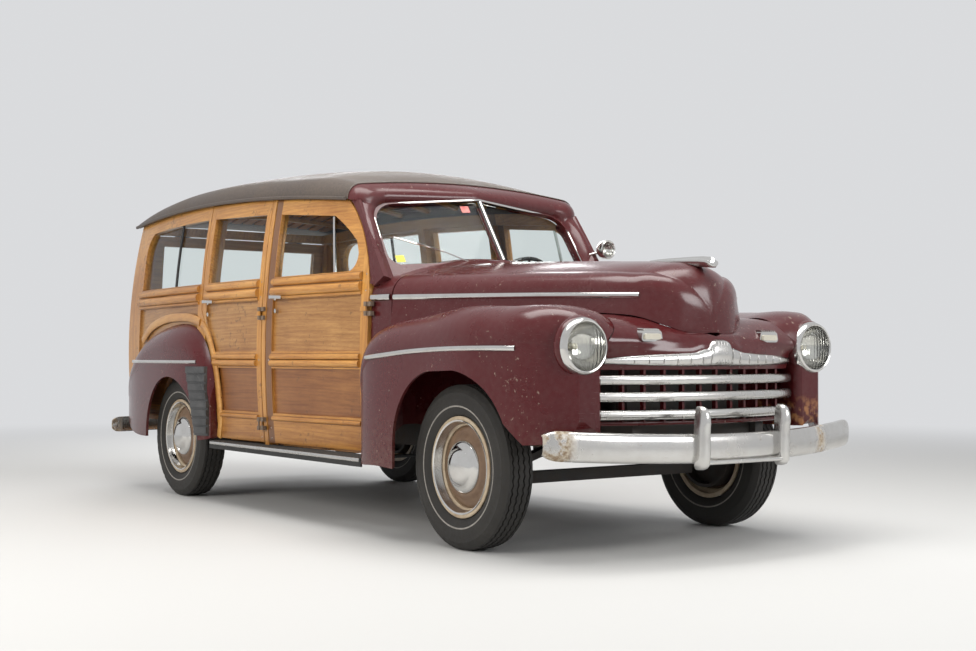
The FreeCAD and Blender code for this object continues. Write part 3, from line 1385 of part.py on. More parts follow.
def make_steering_wheel():
    """Rim, three spokes and hub on a short shaft, on the car's left."""
    axis = WHEEL_AXIS
    centre = WHEEL_CENTRE
    rim = Part.makeTorus(WHEEL_R, 11, centre, axis)
    hub = Part.makeCylinder(34, 40, centre + axis * -14, axis)
    spokes = []
    side = V(1, 0, 0)
    other = axis.cross(side)
    other.normalize()
    for angle in (90.0, 210.0, 330.0):
        a = math.radians(angle)
        tip = centre + side * (WHEEL_R * math.cos(a)) + other * (WHEEL_R * math.sin(a))
        spokes.append(rod(centre, tip, 7))
    shaft = rod(centre, centre + axis * (COLUMN_START + 60), SHAFT_R)
    return fuse([rim, hub, shaft] + spokes)


def make_steering_column(floor, dashboard):
    """Tube from the steering wheel to the firewall, carried under the instrument panel."""
    start = WHEEL_CENTRE + WHEEL_AXIS * COLUMN_START
    tube = rod(start, WHEEL_CENTRE + WHEEL_AXIS * 470, COLUMN_R)
    bore = rod(start, start + WHEEL_AXIS * 66, SHAFT_R + PIN_FIT)
    hanger = box(WHEEL_U - 14, WHEEL_U + 14, 905, 935, 1060, DASH_LOW_Z)
    column = fuse([tube.cut(bore), hanger]).cut(bore)
    return largest(column.cut(floor).cut(dashboard))


GATE_HINGE_U = 420.0
GATE_BARREL_HALF = 22.0


def rear_y(z):
    """Place of the rear wall's outer face at a height."""
    return REAR_CY + math.sqrt(REAR_R ** 2 - (z - REAR_CZ) ** 2)


LIFTGATE_AXIS = (rear_y(LIFTGATE_TOP) + HINGE_OUT, LIFTGATE_TOP + 1)
TAILGATE_AXIS = (rear_y(TAILGATE_LOW) + HINGE_OUT, TAILGATE_LOW - 1)


def gate_leaves(axis, up):
    """Barrels and straps of one rear gate, bored for the pins; up tells which way the gate lies."""
    y, z = axis
    leaves = []
    for s in (-1, 1):
        u = s * GATE_HINGE_U
        barrel = rod(V(u - GATE_BARREL_HALF, y, z), V(u + GATE_BARREL_HALF, y, z), BARREL_R)
        z0, z1 = sorted((z, z + up * 50))
        strap = box(u - GATE_BARREL_HALF, u + GATE_BARREL_HALF, y - 28, y - 3, z0, z1)
        strap = strap.cut(rear_slab(LEAF + 60, 60, -900, 900, z - 80, z + 80))
        bore = rod(V(u - 60, y, z), V(u + 60, y, z), PIN_R + PIN_FIT)
        leaves.append(barrel.fuse(strap).cut(bore))
    return leaves


def gate_brackets(axis, up, carrier):
    """Pins and lugs on the frame of one rear gate."""
    y, z = axis
    pieces = []
    for s in (-1, 1):
        u = s * GATE_HINGE_U
        pin = rod(V(u - 48, y, z), V(u + 48, y, z), PIN_R)
        lugs = []
        for start in (u - 48, u + GATE_BARREL_HALF + 1):
            lugs.append(rod(V(start, y, z), V(start + 25, y, z), BARREL_R))
            z0, z1 = sorted((z - up * 3, z - up * 40))
            lugs.append(box(start, start + 25, y - 30, y - 3, z0, z1))
        pieces.append(largest(fuse([pin] + lugs).cut(carrier)))
    return pieces


def make_hinges(cowl, body_frame):
    """The fixed halves of all hinges, each with its pin."""
    pieces = []
    for piece in door_brackets(DOOR_FRONT_Y, cowl) + door_brackets(REAR_DOOR_Y, body_frame):
        pieces += [piece, mirrored(piece)]
    pieces += gate_brackets(LIFTGATE_AXIS, -1, body_frame)
    pieces += gate_brackets(TAILGATE_AXIS, 1, body_frame)
    y = HOOD_AXIS_Y
    z = HOOD_AXIS_Z
    pin = rod(V(-60, y, z), V(60, y, z), HOOD_PIN_R)
    lug = rod(V(-20, y, z), V(20, y, z), HOOD_BARREL_R)
    foot = box(-20, 20, y, y + 16, z - 9, z)
    pieces.append(largest(fuse([pin, lug, foot]).cut(cowl)))
    return Part.makeCompound(pieces)


def shift(shape):
    """Move from the design frame to the car's own frame."""
    return shape.translated(V(0, -MIDDLE_Y, 0))


def export(name, shape):
    """Write one piece."""
    moved = shift(shape)
    moved.exportStep("parts/" + name + ".step")
    print(name, len(moved.Solids), round(moved.Volume / 1e6, 2))


def main():
    os.makedirs("parts", exist_ok=True)
    pieces = {}
    pieces["chassis_frame"] = make_chassis()
    pieces["front_axle"] = make_front_axle()
    pieces["rear_axle"] = make_rear_axle()
    pieces["springs"] = make_springs()
    pieces["engine"] = make_engine()
    pieces["radiator"] = make_radiator()
    pieces["exhaust"] = make_exhaust()
    pieces["fuel_tank"] = make_tank()
    floor = make_floor()
    pieces["floor"] = floor
    pieces["running_boards"] = make_running_boards()
    cap, roof = make_roof_pieces()
    header = make_header(cap)
    pieces["roof_header"] = header
    cowl = make_cowl()
    pieces["cowl"] = cowl
    pieces["roof"] = roof
    pieces["windscreen"] = make_windscreen()
    body_frame = make_body_frame(floor)
    pieces["body_frame"] = body_frame
    pieces["hinges"] = make_hinges(cowl, body_frame)
    pieces["quarter_glass"] = make_quarter_glass()
    pieces["front_wings"] = make_front_wings()
    pieces["rear_wings"] = make_rear_wings()
    pieces["wing_pads"] = make_wing_pads()
    pieces["nose_panel"] = make_nose_panel()
    pieces["grille"] = make_grille()
    pieces["grille_crown"] = make_crown()
    pieces["lamps"] = make_lamps(cowl)
    pieces["lamp_lenses"] = make_lenses()
    pieces["front_bumper"] = make_front_bumper()
    pieces["rear_bumper"] = make_rear_bumper()
    pieces["seats"] = make_seats()
    dashboard = make_dashboard()
    pieces["dashboard"] = dashboard
    pieces["steering_column"] = make_steering_column(floor, dashboard)
    pieces["steering_wheel"] = make_steering_wheel()
    pieces["hood"] = make_hood()
    pieces["hood_ornament"] = make_hood_ornament()
    front_door = wood_door(front_door_outline, FRONT_WINDOW, (DOOR_FRONT_Y + 60, B_POST_Y - 60), False)
    rear_door = wood_door(rear_door_outline, REAR_WINDOW, (REAR_DOOR_Y + 46, C_SEAM_Y - 60), True)
    for name, side in (("left", 1), ("right", -1)):
        for label, door, window in (("front", front_door, FRONT_WINDOW), ("rear", rear_door, REAR_WINDOW)):
            glass = glass_pane(window)
            pieces[label + "_door_" + name] = door if side > 0 else mirrored(door)
            pieces[label + "_door_glass_" + name] = glass if side > 0 else mirrored(glass)
    pieces["liftgate"] = make_liftgate()
    pieces["liftgate_glass"] = make_liftgate_glass()
    pieces["tailgate"] = make_tailgate()
    knuckle = make_knuckle()
    pieces["knuckle_left"] = knuckle
    pieces["knuckle_right"] = mirrored(knuckle)
    wheel = make_wheel(0, 0)
    tyre = largest(make_tyre(0, 0))
    for place, centre_u, y in (("front", FRONT_U, 0.0), ("rear", REAR_U, WHEELBASE)):
        for name, side in (("left", 1), ("right", -1)):
            pieces["tyre_" + place + "_" + name] = placed(tyre, centre_u, y, side)
            pieces["wheel_" + place + "_" + name] = placed(wheel, centre_u, y, side)
    for name, shape in pieces.items():
        export(name, shape)


main()
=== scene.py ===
import math

import bmesh
import bpy
import numpy as np
from mathutils import Matrix, Vector


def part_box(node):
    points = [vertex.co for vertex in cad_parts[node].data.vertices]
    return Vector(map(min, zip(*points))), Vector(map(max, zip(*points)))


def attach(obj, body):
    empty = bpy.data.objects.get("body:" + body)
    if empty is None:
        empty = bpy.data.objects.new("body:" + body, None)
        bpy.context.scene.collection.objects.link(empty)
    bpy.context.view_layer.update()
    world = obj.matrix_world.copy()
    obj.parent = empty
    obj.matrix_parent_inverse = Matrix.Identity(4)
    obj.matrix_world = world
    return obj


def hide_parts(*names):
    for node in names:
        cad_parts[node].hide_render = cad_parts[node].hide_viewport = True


# A 1940s wood-bodied station wagon. Lengths in the tables are millimetres in the body maker's frame:
# u outward from the middle plane, y rearward from the front axle, z up from the ground.
MIDDLE_Y = 1576.5

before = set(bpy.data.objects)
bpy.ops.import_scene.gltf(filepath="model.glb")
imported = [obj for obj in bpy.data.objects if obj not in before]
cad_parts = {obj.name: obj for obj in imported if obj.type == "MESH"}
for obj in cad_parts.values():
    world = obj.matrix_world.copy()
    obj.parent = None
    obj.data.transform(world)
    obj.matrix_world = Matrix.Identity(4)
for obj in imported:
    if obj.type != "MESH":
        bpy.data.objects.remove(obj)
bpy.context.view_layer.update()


def at(u, y, z):
    """A point of the body maker's frame, in the scene's metres."""
    return Vector((u / 1000, (y - MIDDLE_Y) / 1000, z / 1000))


# Node helpers

def place(tree, kind, inputs=None, **settings):
    """Add one node, set its options and feed its inputs."""
    node = tree.nodes.new(kind)
    for key, value in settings.items():
        setattr(node, key, value)
    for key, value in (inputs or {}).items():
        if isinstance(value, bpy.types.NodeSocket):
            tree.links.new(value, node.inputs[key])
        else:
            node.inputs[key].default_value = value
    return node


def calculate(tree, operation, a, b, clamp=False):
    """One arithmetic step."""
    return place(tree, "ShaderNodeMath", {0: a, 1: b}, operation=operation, use_clamp=clamp).outputs[0]


def new_group(name, ins, outs):
    """A shader node group with named sockets: its tree, what comes in and what goes out."""
    tree = bpy.data.node_groups.new(name, "ShaderNodeTree")
    for label, value in ins.items():
        kind = "NodeSocketVector" if value is None else "NodeSocketFloat"
        socket = tree.interface.new_socket(label, in_out="INPUT", socket_type=kind)
        if value is not None:
            socket.default_value = value
    for label in outs:
        tree.interface.new_socket(label, in_out="OUTPUT", socket_type="NodeSocketFloat")
    return tree, tree.nodes.new("NodeGroupInput").outputs, tree.nodes.new("NodeGroupOutput").inputs


# Effects shared by several materials

def make_patches():
    """Cloudy mask of a given size and spread."""
    tree, into, out = new_group("patches", {"Position": None, "Scale": 4.0, "Low": 0.4, "High": 0.6},
                                ["Mask"])
    noise = place(tree, "ShaderNodeTexNoise", {"Vector": into["Position"], "Scale": into["Scale"],
                                               "Detail": 5.0, "Roughness": 0.58})
    ranged = place(tree, "ShaderNodeMapRange", {"Value": noise.outputs["Fac"], "From Min": into["Low"],
                                                "From Max": into["High"]})
    tree.links.new(ranged.outputs[0], out["Mask"])
    return tree


def make_zone():
    """One between two values of a coordinate, with soft ends."""
    tree, into, out = new_group("zone", {"Coordinate": 0.0, "Low": 0.0, "High": 1.0, "Soft": 0.001},
                                ["Mask"])
    rise = calculate(tree, "SUBTRACT", into["Coordinate"], into["Low"])
    rise = calculate(tree, "DIVIDE", rise, into["Soft"], True)
    fall = calculate(tree, "SUBTRACT", into["High"], into["Coordinate"])
    fall = calculate(tree, "DIVIDE", fall, into["Soft"], True)
    tree.links.new(calculate(tree, "MULTIPLY", rise, fall), out["Mask"])
    return tree


def make_chips():
    """Small flakes and nicks that gather in patches."""
    tree, into, out = new_group("chips", {"Position": None, "Scale": 60.0, "Amount": 0.3, "Gather": 5.0},
                                ["Mask"])
    small = place(tree, "ShaderNodeTexNoise", {"Vector": into["Position"], "Scale": into["Scale"],
                                               "Detail": 7.0, "Roughness": 0.7})
    large = place(tree, "ShaderNodeTexNoise", {"Vector": into["Position"], "Scale": into["Gather"],
                                               "Detail": 3.0, "Roughness": 0.5})
    level = calculate(tree, "MULTIPLY", large.outputs["Fac"], into["Amount"])
    level = calculate(tree, "SUBTRACT", CHIP_LEVEL, level)
    over = calculate(tree, "SUBTRACT", small.outputs["Fac"], level)
    tree.links.new(calculate(tree, "MULTIPLY", over, CHIP_EDGE, True), out["Mask"])
    return tree


def make_grain():
    """Streaks of timber along the direction in which the position is squeezed."""
    tree, into, out = new_group("timber_grain", {"Position": None, "Scale": 1.0}, ["Grain", "Fibre"])
    warp = place(tree, "ShaderNodeTexNoise", {"Vector": into["Position"], "Scale": 0.22, "Detail": 2.0})
    moved = place(tree, "ShaderNodeVectorMath", {0: warp.outputs["Color"], 3: GRAIN_WAVE}, operation="SCALE")
    moved = place(tree, "ShaderNodeVectorMath", {0: into["Position"], 1: moved.outputs[0]}, operation="ADD")
    broad = place(tree, "ShaderNodeTexNoise", {"Vector": moved.outputs[0], "Scale": into["Scale"],
                                               "Detail": 4.0, "Roughness": 0.55})
    rings = place(tree, "ShaderNodeTexWave", {"Vector": moved.outputs[0], "Scale": 0.55, "Distortion": 7.0,
                                              "Detail": 2.0, "Detail Scale": 1.2}, wave_type="BANDS",
                  bands_direction="DIAGONAL")
    fine = place(tree, "ShaderNodeTexNoise", {"Vector": into["Position"], "Scale": 5.5, "Detail": 6.0,
                                              "Roughness": 0.7})
    total = calculate(tree, "MULTIPLY", broad.outputs["Fac"], 0.46)
    for source, share in ((rings, 0.10), (fine, 0.50)):
        total = calculate(tree, "ADD", total, calculate(tree, "MULTIPLY", source.outputs["Fac"], share))
    ranged = place(tree, "ShaderNodeMapRange", {"Value": total, "From Min": 0.36, "From Max": 0.72})
    tree.links.new(ranged.outputs[0], out["Grain"])
    tree.links.new(fine.outputs["Fac"], out["Fibre"])
    return tree


CHIP_LEVEL = 0.83
CHIP_EDGE = 26.0
GRAIN_WAVE = 0.9
PATCHES = make_patches()
ZONE = make_zone()
CHIPS = make_chips()
GRAIN = make_grain()


class Finish:
    """A material in the making: its tree, its shader and the place on the car that its masks read."""

    def __init__(self, name):
        self.material = bpy.data.materials.new(name)
        self.material.use_nodes = True
        self.tree = self.material.node_tree
        self.shader = self.tree.nodes["Principled BSDF"]
        self.position = self.add("ShaderNodeTexCoord").outputs["Object"]
        self.parts = self.add("ShaderNodeSeparateXYZ", {0: self.position}).outputs

    def add(self, kind, inputs=None, **settings):
        """One node of any kind."""
        return place(self.tree, kind, inputs, **settings)

    def use(self, group, **inputs):
        """A shared effect with this material's own values."""
        return self.add("ShaderNodeGroup", inputs, node_tree=group).outputs

    def patches(self, scale, low, high, position=None):
        """Cloudy mask."""
        place_read = self.position if position is None else position
        return self.use(PATCHES, Position=place_read, Scale=scale, Low=low, High=high)["Mask"]

    def chips(self, scale, amount, gather):
        """Flaked and nicked places."""
        return self.use(CHIPS, Position=self.position, Scale=scale, Amount=amount, Gather=gather)["Mask"]

    def zone(self, axis, low, high, soft):
        """Mask of a stretch along X, Y or Z, in metres."""
        return self.use(ZONE, Coordinate=self.parts[axis], Low=low, High=high, Soft=soft)["Mask"]

    def times(self, a, b, clamp=False):
        """Product of two masks or values."""
        return calculate(self.tree, "MULTIPLY", a, b, clamp)

    def plus(self, a, b, clamp=False):
        """Sum of two masks or values."""
        return calculate(self.tree, "ADD", a, b, clamp)

    def minus(self, a, b, clamp=False):
        """Difference of two masks or values."""
        return calculate(self.tree, "SUBTRACT", a, b, clamp)

    def union(self, masks):
        """The larger of several masks."""
        total = masks[0]
        for mask in masks[1:]:
            total = calculate(self.tree, "MAXIMUM", total, mask)
        return total

    def spread(self, mask, low, high):
        """A mask turned into a value between two ends."""
        return self.add("ShaderNodeMapRange", {"Value": mask, "To Min": low, "To Max": high}).outputs[0]

    def mix(self, factor, a, b, mode="MIX"):
        """Mix of two colours by a mask."""
        inputs = {0: factor}
        for key, value in ((6, a), (7, b)):
            inputs[key] = value if isinstance(value, bpy.types.NodeSocket) else (*value, 1.0)
        return self.add("ShaderNodeMix", inputs, data_type="RGBA", blend_type=mode).outputs[2]

    def squeezed(self, factors):
        """The position stretched or squeezed along each axis."""
        node = self.add("ShaderNodeVectorMath", {0: self.position, 1: factors}, operation="MULTIPLY")
        return node.outputs[0]

    def bump(self, height, strength, distance):
        """Relief from a height mask."""
        node = self.add("ShaderNodeBump", {"Height": height, "Strength": strength, "Distance": distance})
        self.tree.links.new(node.outputs[0], self.shader.inputs["Normal"])

    def done(self, **inputs):
        """Feed or set the shader's sockets and hand over the material."""
        for key, value in inputs.items():
            socket = self.shader.inputs[key.replace("_", " ")]
            if isinstance(value, bpy.types.NodeSocket):
                self.tree.links.new(value, socket)
            else:
                socket.default_value = (*value, 1.0) if isinstance(value, tuple) else value
        return self.material


# Materials

def maroon_lacquer(name, fresh, faded_sheen_colour, chip, chip_amount, rough):
    """Old lacquer: faded clouds up high that are partly painted sheen, fine scratches, chips, dust low down
    and rust low on the left wing.
    """
    f = Finish(name)
    cloud = f.patches(2.4, 0.36, 0.66)
    fine = f.patches(38.0, 0.35, 0.7)
    # Lighter faded colour in clouds on the upper surfaces: partly sun fading, partly painted sheen where
    # overhead light falls.
    fade_and_sheen = f.times(f.zone("Z", 0.72, 4.0, 0.42), f.spread(cloud, 0.45, 1.0))
    colour = f.mix(fade_and_sheen, fresh, faded_sheen_colour)
    colour = f.mix(f.spread(fine, 0.0, 0.14), colour, (0.12, 0.07, 0.065))
    chips = f.chips(48.0, chip_amount, 4.2)
    dust = f.times(f.zone("Z", -1.0, 0.62, 0.35), f.spread(fine, 0.0, 0.34))
    colour = f.mix(dust, colour, (0.16, 0.11, 0.08))
    colour = f.mix(chips, colour, chip)
    rust = f.zone("X", 0.52, 0.86, 0.05)
    for axis, low, high in (("Y", -2.42, -1.98), ("Z", 0.46, 0.66)):
        rust = f.times(rust, f.zone(axis, low, high, 0.06))
    colour = f.mix(f.times(rust, f.patches(26.0, 0.47, 0.60)), colour, (0.30, 0.13, 0.05))
    scratch = f.patches(1.0, 0.62, 0.72, f.squeezed((9.0, 60.0, 160.0)))
    gloss = f.plus(f.spread(cloud, rough - 0.08, rough + 0.1), f.times(scratch, 0.16))
    gloss = f.plus(gloss, f.times(chips, 0.4), True)
    f.bump(f.minus(f.times(fine, 0.1), chips), 0.25, 0.0006)
    return f.done(Base_Color=colour, Roughness=gloss, Specular_IOR_Level=0.32, Coat_Weight=0.2,
                  Coat_Roughness=0.16)


# The body side in millimetres: upright timbers (y from, y to), rails and sunk panels (z from, z to),
# the joints between timbers, the post that has darkened, and the edges of the beads, along which thin lines
# of shade are painted
STILES = [(860, 928), (1730, 1888), (2520, 2640), (3640, 3900)]
RAILS = [(360, 528), (766, 856), (1128, 1252)]
SUNK = [(528, 766), (856, 1128)]
LOWER_PANELS = (500, 780)
JOINTS = (928, 1730, 1888, 2520, 2640, 3640)
DARK_POST = (1731, 1790)
SHADED_BEAD_EDGES = (1244, 1199, 1148, 1130, 843, 813, 775, 515, 489)
JOINT_HALF = 0.9
SHADE_LINE_HALF = 2.6


def side_timber(name, ash_light, ash_dark, panel_light, panel_dark, brown):
    """Varnished body side: pale ash rails and posts, warmer panels, one dark post and painted shade along the
    bead edges, by place.
    """
    f = Finish(name)

    def along_car(low, high, soft=0.0008):
        """Mask of a stretch along the car, in millimetres."""
        return f.zone("Y", (low - MIDDLE_Y) / 1000, (high - MIDDLE_Y) / 1000, soft)

    def up_side(low, high, soft=0.0008):
        """Mask of a stretch of height, in millimetres."""
        return f.zone("Z", low / 1000, high / 1000, soft)

    upright = f.union([along_car(*stile) for stile in STILES])
    not_upright = f.minus(1.0, upright)
    sunk = f.times(f.union([up_side(*panel) for panel in SUNK]), not_upright)
    flat = f.squeezed((40.0, 2.2, 52.0))
    tall = f.squeezed((40.0, 44.0, 1.9))
    along = f.add("ShaderNodeMix", {0: upright, 4: flat, 5: tall}, data_type="VECTOR").outputs[1]
    grain = f.use(GRAIN, Position=along, Scale=0.9)
    ash = f.mix(grain["Grain"], ash_dark, ash_light)
    panel = f.mix(grain["Grain"], panel_dark, panel_light)
    panel = f.mix(f.times(up_side(*LOWER_PANELS), 0.8), panel, (0.60, 0.42, 0.30), "MULTIPLY")
    colour = f.mix(sunk, ash, panel)
    # Thin dark lines at the edges of the beads are painted shade, kept off the upright timbers.
    bead_edge_shade = f.union([up_side(z - SHADE_LINE_HALF, z + SHADE_LINE_HALF, 0.003) for z in SHADED_BEAD_EDGES])
    colour = f.mix(f.times(f.times(bead_edge_shade, not_upright), 0.9), colour, (0.060, 0.020, 0.006))
    colour = f.mix(f.times(along_car(*DARK_POST), 0.85), colour, brown)
    tone = f.patches(1.7, 0.35, 0.65)
    colour = f.mix(f.spread(tone, 0.0, 0.42), colour, (0.36, 0.16, 0.05), "MULTIPLY")
    colour = f.mix(f.times(up_side(-500, 700, 0.35), 0.35), colour, (0.30, 0.13, 0.04), "MULTIPLY")
    colour = f.mix(f.times(f.chips(30.0, 0.42, 3.0), 0.55), colour, (0.10, 0.045, 0.015))
    joints = f.union([along_car(edge - JOINT_HALF, edge + JOINT_HALF, 0.0004) for edge in JOINTS])
    joints = f.times(joints, f.union([up_side(*rail) for rail in RAILS]))
    colour = f.mix(f.times(joints, 0.7), colour, (0.06, 0.025, 0.01))
    gloss = f.plus(f.spread(grain["Fibre"], 0.22, 0.46), f.times(tone, 0.1), True)
    f.bump(f.minus(grain["Fibre"], joints), 0.35, 0.0006)
    return f.done(Base_Color=colour, Roughness=gloss, Coat_Weight=0.3, Coat_Roughness=0.22)


def plain_timber(name, light, dark, squeeze):
    """Varnished timber whose grain runs along the squeezed axis."""
    f = Finish(name)
    grain = f.use(GRAIN, Position=f.squeezed(squeeze), Scale=0.9)
    colour = f.mix(grain["Grain"], dark, light)
    tone = f.patches(2.1, 0.35, 0.65)
    colour = f.mix(f.spread(tone, 0.0, 0.4), colour, (0.42, 0.2, 0.07), "MULTIPLY")
    f.bump(grain["Fibre"], 0.3, 0.0005)
    return f.done(Base_Color=colour, Roughness=f.spread(grain["Fibre"], 0.24, 0.48), Coat_Weight=0.3,
                  Coat_Roughness=0.24)


def plated(name, colour, rough, pits, peeled=()):
    """Old bright plating with pits and a dull bloom, peeled in some stretches across the car."""
    f = Finish(name)
    bloom = f.patches(9.0, 0.4, 0.7)
    spots = f.chips(130.0, pits, 11.0)
    base = f.mix(f.spread(bloom, 0.0, 0.3), colour, (0.42, 0.39, 0.35))
    base = f.mix(spots, base, (0.16, 0.10, 0.06))
    gloss = f.plus(f.spread(bloom, rough, rough + 0.13), f.times(spots, 0.4), True)
    metal = f.minus(1.0, f.times(spots, 0.7))
    if peeled:
        bare = f.union([f.zone("X", low, high, 0.04) for low, high in peeled])
        bare = f.times(bare, f.patches(17.0, 0.42, 0.50))
        rust = f.mix(f.patches(70.0, 0.40, 0.60), (0.46, 0.40, 0.31), (0.22, 0.15, 0.09))
        base = f.mix(bare, base, rust)
        gloss = f.plus(gloss, f.times(bare, 0.5), True)
        metal = f.minus(metal, bare, True)
        spots = f.union([spots, bare])
    f.bump(spots, 0.3, 0.0003)
    return f.done(Base_Color=base, Roughness=gloss, Metallic=metal)


def grained_cloth(name, colour, pale):
    """Coated roof cloth with a leather grain and rubbed places."""
    f = Finish(name)
    cells = f.add("ShaderNodeTexVoronoi", {"Vector": f.position, "Scale": 190.0}, feature="SMOOTH_F1")
    worn = f.patches(3.2, 0.4, 0.68)
    base = f.mix(f.spread(worn, 0.0, 0.6), colour, pale)
    base = f.mix(f.spread(f.patches(90.0, 0.4, 0.62), 0.0, 0.3), base, (0.16, 0.12, 0.09))
    f.bump(cells.outputs["Distance"], 0.4, 0.0012)
    return f.done(Base_Color=base, Roughness=f.spread(worn, 0.46, 0.62))


def matte(name, colour, other, rough, scale=40.0, bump=0.2):
    """Rubber, cast iron or plain paint with a fine uneven surface."""
    f = Finish(name)
    fine = f.patches(scale, 0.35, 0.68)
    base = f.mix(f.spread(fine, 0.0, 0.5), colour, other)
    base = f.mix(f.spread(f.patches(4.0, 0.4, 0.66), 0.0, 0.35), base, other)
    f.bump(fine, bump, 0.0006)
    return f.done(Base_Color=base, Roughness=f.spread(fine, rough - 0.08, rough + 0.1))


def clear_glass(name, tint, dirt, flutes=None):
    """Thin glass with a little dirt, for a lamp pressed with upright ribs."""
    f = Finish(name)
    if flutes:
        ribs = f.add("ShaderNodeTexWave", {"Vector": f.position, "Scale": flutes}, wave_type="BANDS",
                     bands_direction="X")
        f.bump(ribs.outputs["Fac"], 0.7, 0.004)
    film = f.patches(7.0, 0.45, 0.8)
    return f.done(Base_Color=tint, Roughness=f.spread(film, 0.02, 0.02 + dirt), IOR=1.12,
                  Transmission_Weight=1.0)


def seat_hide(name, colour, worn_colour):
    """Worn seat covering with soft creases."""
    f = Finish(name)
    cells = f.add("ShaderNodeTexVoronoi", {"Vector": f.position, "Scale": 240.0}, feature="SMOOTH_F1")
    worn = f.patches(6.0, 0.42, 0.66)
    f.bump(cells.outputs["Distance"], 0.3, 0.0008)
    return f.done(Base_Color=f.mix(worn, colour, worn_colour), Roughness=f.spread(worn, 0.5, 0.66),
                  Sheen_Weight=0.15)


LACQUER = maroon_lacquer("maroon_lacquer", (0.066, 0.0035, 0.005), (0.078, 0.015, 0.016), (0.26, 0.19, 0.15),
                         0.33, 0.25)
SIDE_WOOD = side_timber("varnished_side", (0.66, 0.34, 0.080), (0.38, 0.155, 0.030), (0.50, 0.27, 0.085),
                        (0.27, 0.115, 0.026), (0.13, 0.050, 0.020))
CROSS_WOOD = plain_timber("varnished_gate", (0.60, 0.32, 0.09), (0.37, 0.155, 0.032), (1.7, 26.0, 34.0))
TRIM_WOOD = plain_timber("varnished_moulding", (0.66, 0.37, 0.11), (0.46, 0.21, 0.05), (20.0, 3.0, 20.0))
LINING_WOOD = plain_timber("cabin_lining", (0.72, 0.27, 0.045), (0.44, 0.14, 0.022), (30.0, 1.7, 30.0))
BRIGHT = plated("bright_plating", (0.66, 0.65, 0.63), 0.10, 0.20)
DULL_BRIGHT = plated("pitted_plating", (0.60, 0.59, 0.57), 0.20, 0.30)
BUMPER_PLATE = plated("bumper_plating", (0.60, 0.59, 0.57), 0.18, 0.34, [(-0.92, -0.77), (0.50, 0.60)])
ROOF_CLOTH = grained_cloth("roof_cloth", (0.060, 0.047, 0.040), (0.105, 0.085, 0.070))
SEAL_BLACK = matte("black_rubber", (0.012, 0.012, 0.012), (0.035, 0.033, 0.03), 0.6)
PAD_RUBBER = matte("pad_rubber", (0.020, 0.020, 0.021), (0.10, 0.10, 0.10), 0.36, 14.0)
TYRE_BLACK = matte("tyre_rubber", (0.016, 0.015, 0.014), (0.040, 0.036, 0.031), 0.72, 60.0, 0.3)
IRON_BLACK = matte("chassis_black", (0.018, 0.017, 0.016), (0.055, 0.040, 0.030), 0.66, 30.0)
ENGINE_GREY = matte("engine_iron", (0.07, 0.07, 0.07), (0.12, 0.10, 0.08), 0.6, 30.0)
EXHAUST_RUST = matte("exhaust_steel", (0.16, 0.11, 0.08), (0.22, 0.13, 0.07), 0.7, 50.0)
FLOOR_DARK = matte("floor_covering", (0.035, 0.028, 0.024), (0.06, 0.05, 0.04), 0.8, 80.0, 0.4)
RIM_TAN = matte("rim_lacquer", (0.50, 0.42, 0.30), (0.30, 0.19, 0.11), 0.42, 26.0)
DISC_BROWN = matte("disc_lacquer", (0.13, 0.075, 0.045), (0.24, 0.16, 0.10), 0.45, 22.0)
HINGE_DARK = matte("hinge_steel", (0.20, 0.15, 0.11), (0.10, 0.06, 0.04), 0.45, 60.0)
WHEEL_GLOSS = matte("steering_gloss", (0.012, 0.011, 0.010), (0.03, 0.028, 0.025), 0.26, 40.0, 0.05)
LINE_WHITE = matte("side_line", (0.30, 0.28, 0.25), (0.12, 0.11, 0.10), 0.55, 60.0)
SEAT_HIDE = seat_hide("seat_covering", (0.085, 0.066, 0.052), (0.15, 0.115, 0.085))
GLASS = clear_glass("window_glass", (0.93, 0.97, 0.96), 0.03)
LAMP_GLASS = clear_glass("lamp_glass", (0.95, 0.96, 0.94), 0.05, flutes=16.0)
LABEL_YELLOW = matte("yellow_label", (0.66, 0.62, 0.05), (0.55, 0.5, 0.06), 0.5)
LABEL_RED = matte("red_label", (0.55, 0.05, 0.04), (0.62, 0.55, 0.5), 0.5)
TAIL_RED = matte("tail_red", (0.35, 0.012, 0.010), (0.22, 0.010, 0.008), 0.2, 30.0, 0.02)
CREAM_LENS = matte("parking_lens", (0.62, 0.58, 0.48), (0.45, 0.42, 0.35), 0.3, 90.0, 0.2)


# Shape helpers

def spline(xs, ys):
    """A smooth curve through table values: cubic pieces with gentle slopes, returned as a function."""
    xs = np.array(xs, float)
    ys = np.array(ys, float)
    if xs[0] > xs[-1]:
        xs = xs[::-1]
        ys = ys[::-1]
    slope = np.diff(ys) / np.diff(xs)
    tangent = np.zeros(len(xs))
    tangent[0] = slope[0]
    tangent[-1] = slope[-1]
    for i in range(1, len(xs) - 1):
        left = xs[i] - xs[i - 1]
        right = xs[i + 1] - xs[i]
        tangent[i] = (slope[i - 1] * right + slope[i] * left) / (left + right)

    def value(x):
        x = min(max(x, xs[0]), xs[-1])
        i = int(min(max(np.searchsorted(xs, x) - 1, 0), len(xs) - 2))
        h = xs[i + 1] - xs[i]
        t = (x - xs[i]) / h
        return ((2 * t ** 3 - 3 * t ** 2 + 1) * ys[i] + (t ** 3 - 2 * t ** 2 + t) * h * tangent[i]
                + (-2 * t ** 3 + 3 * t ** 2) * ys[i + 1] + (t ** 3 - t ** 2) * h * tangent[i + 1])

    return value


def table_curves(rows):
    """One smooth curve per column, along the first column."""
    ys = [row[0] for row in rows]
    return [spline(ys, [row[k] for row in rows]) for k in range(1, len(rows[0]))]


def coat(obj, material):
    """The object's only material."""
    obj.data.materials.clear()
    obj.data.materials.append(material)


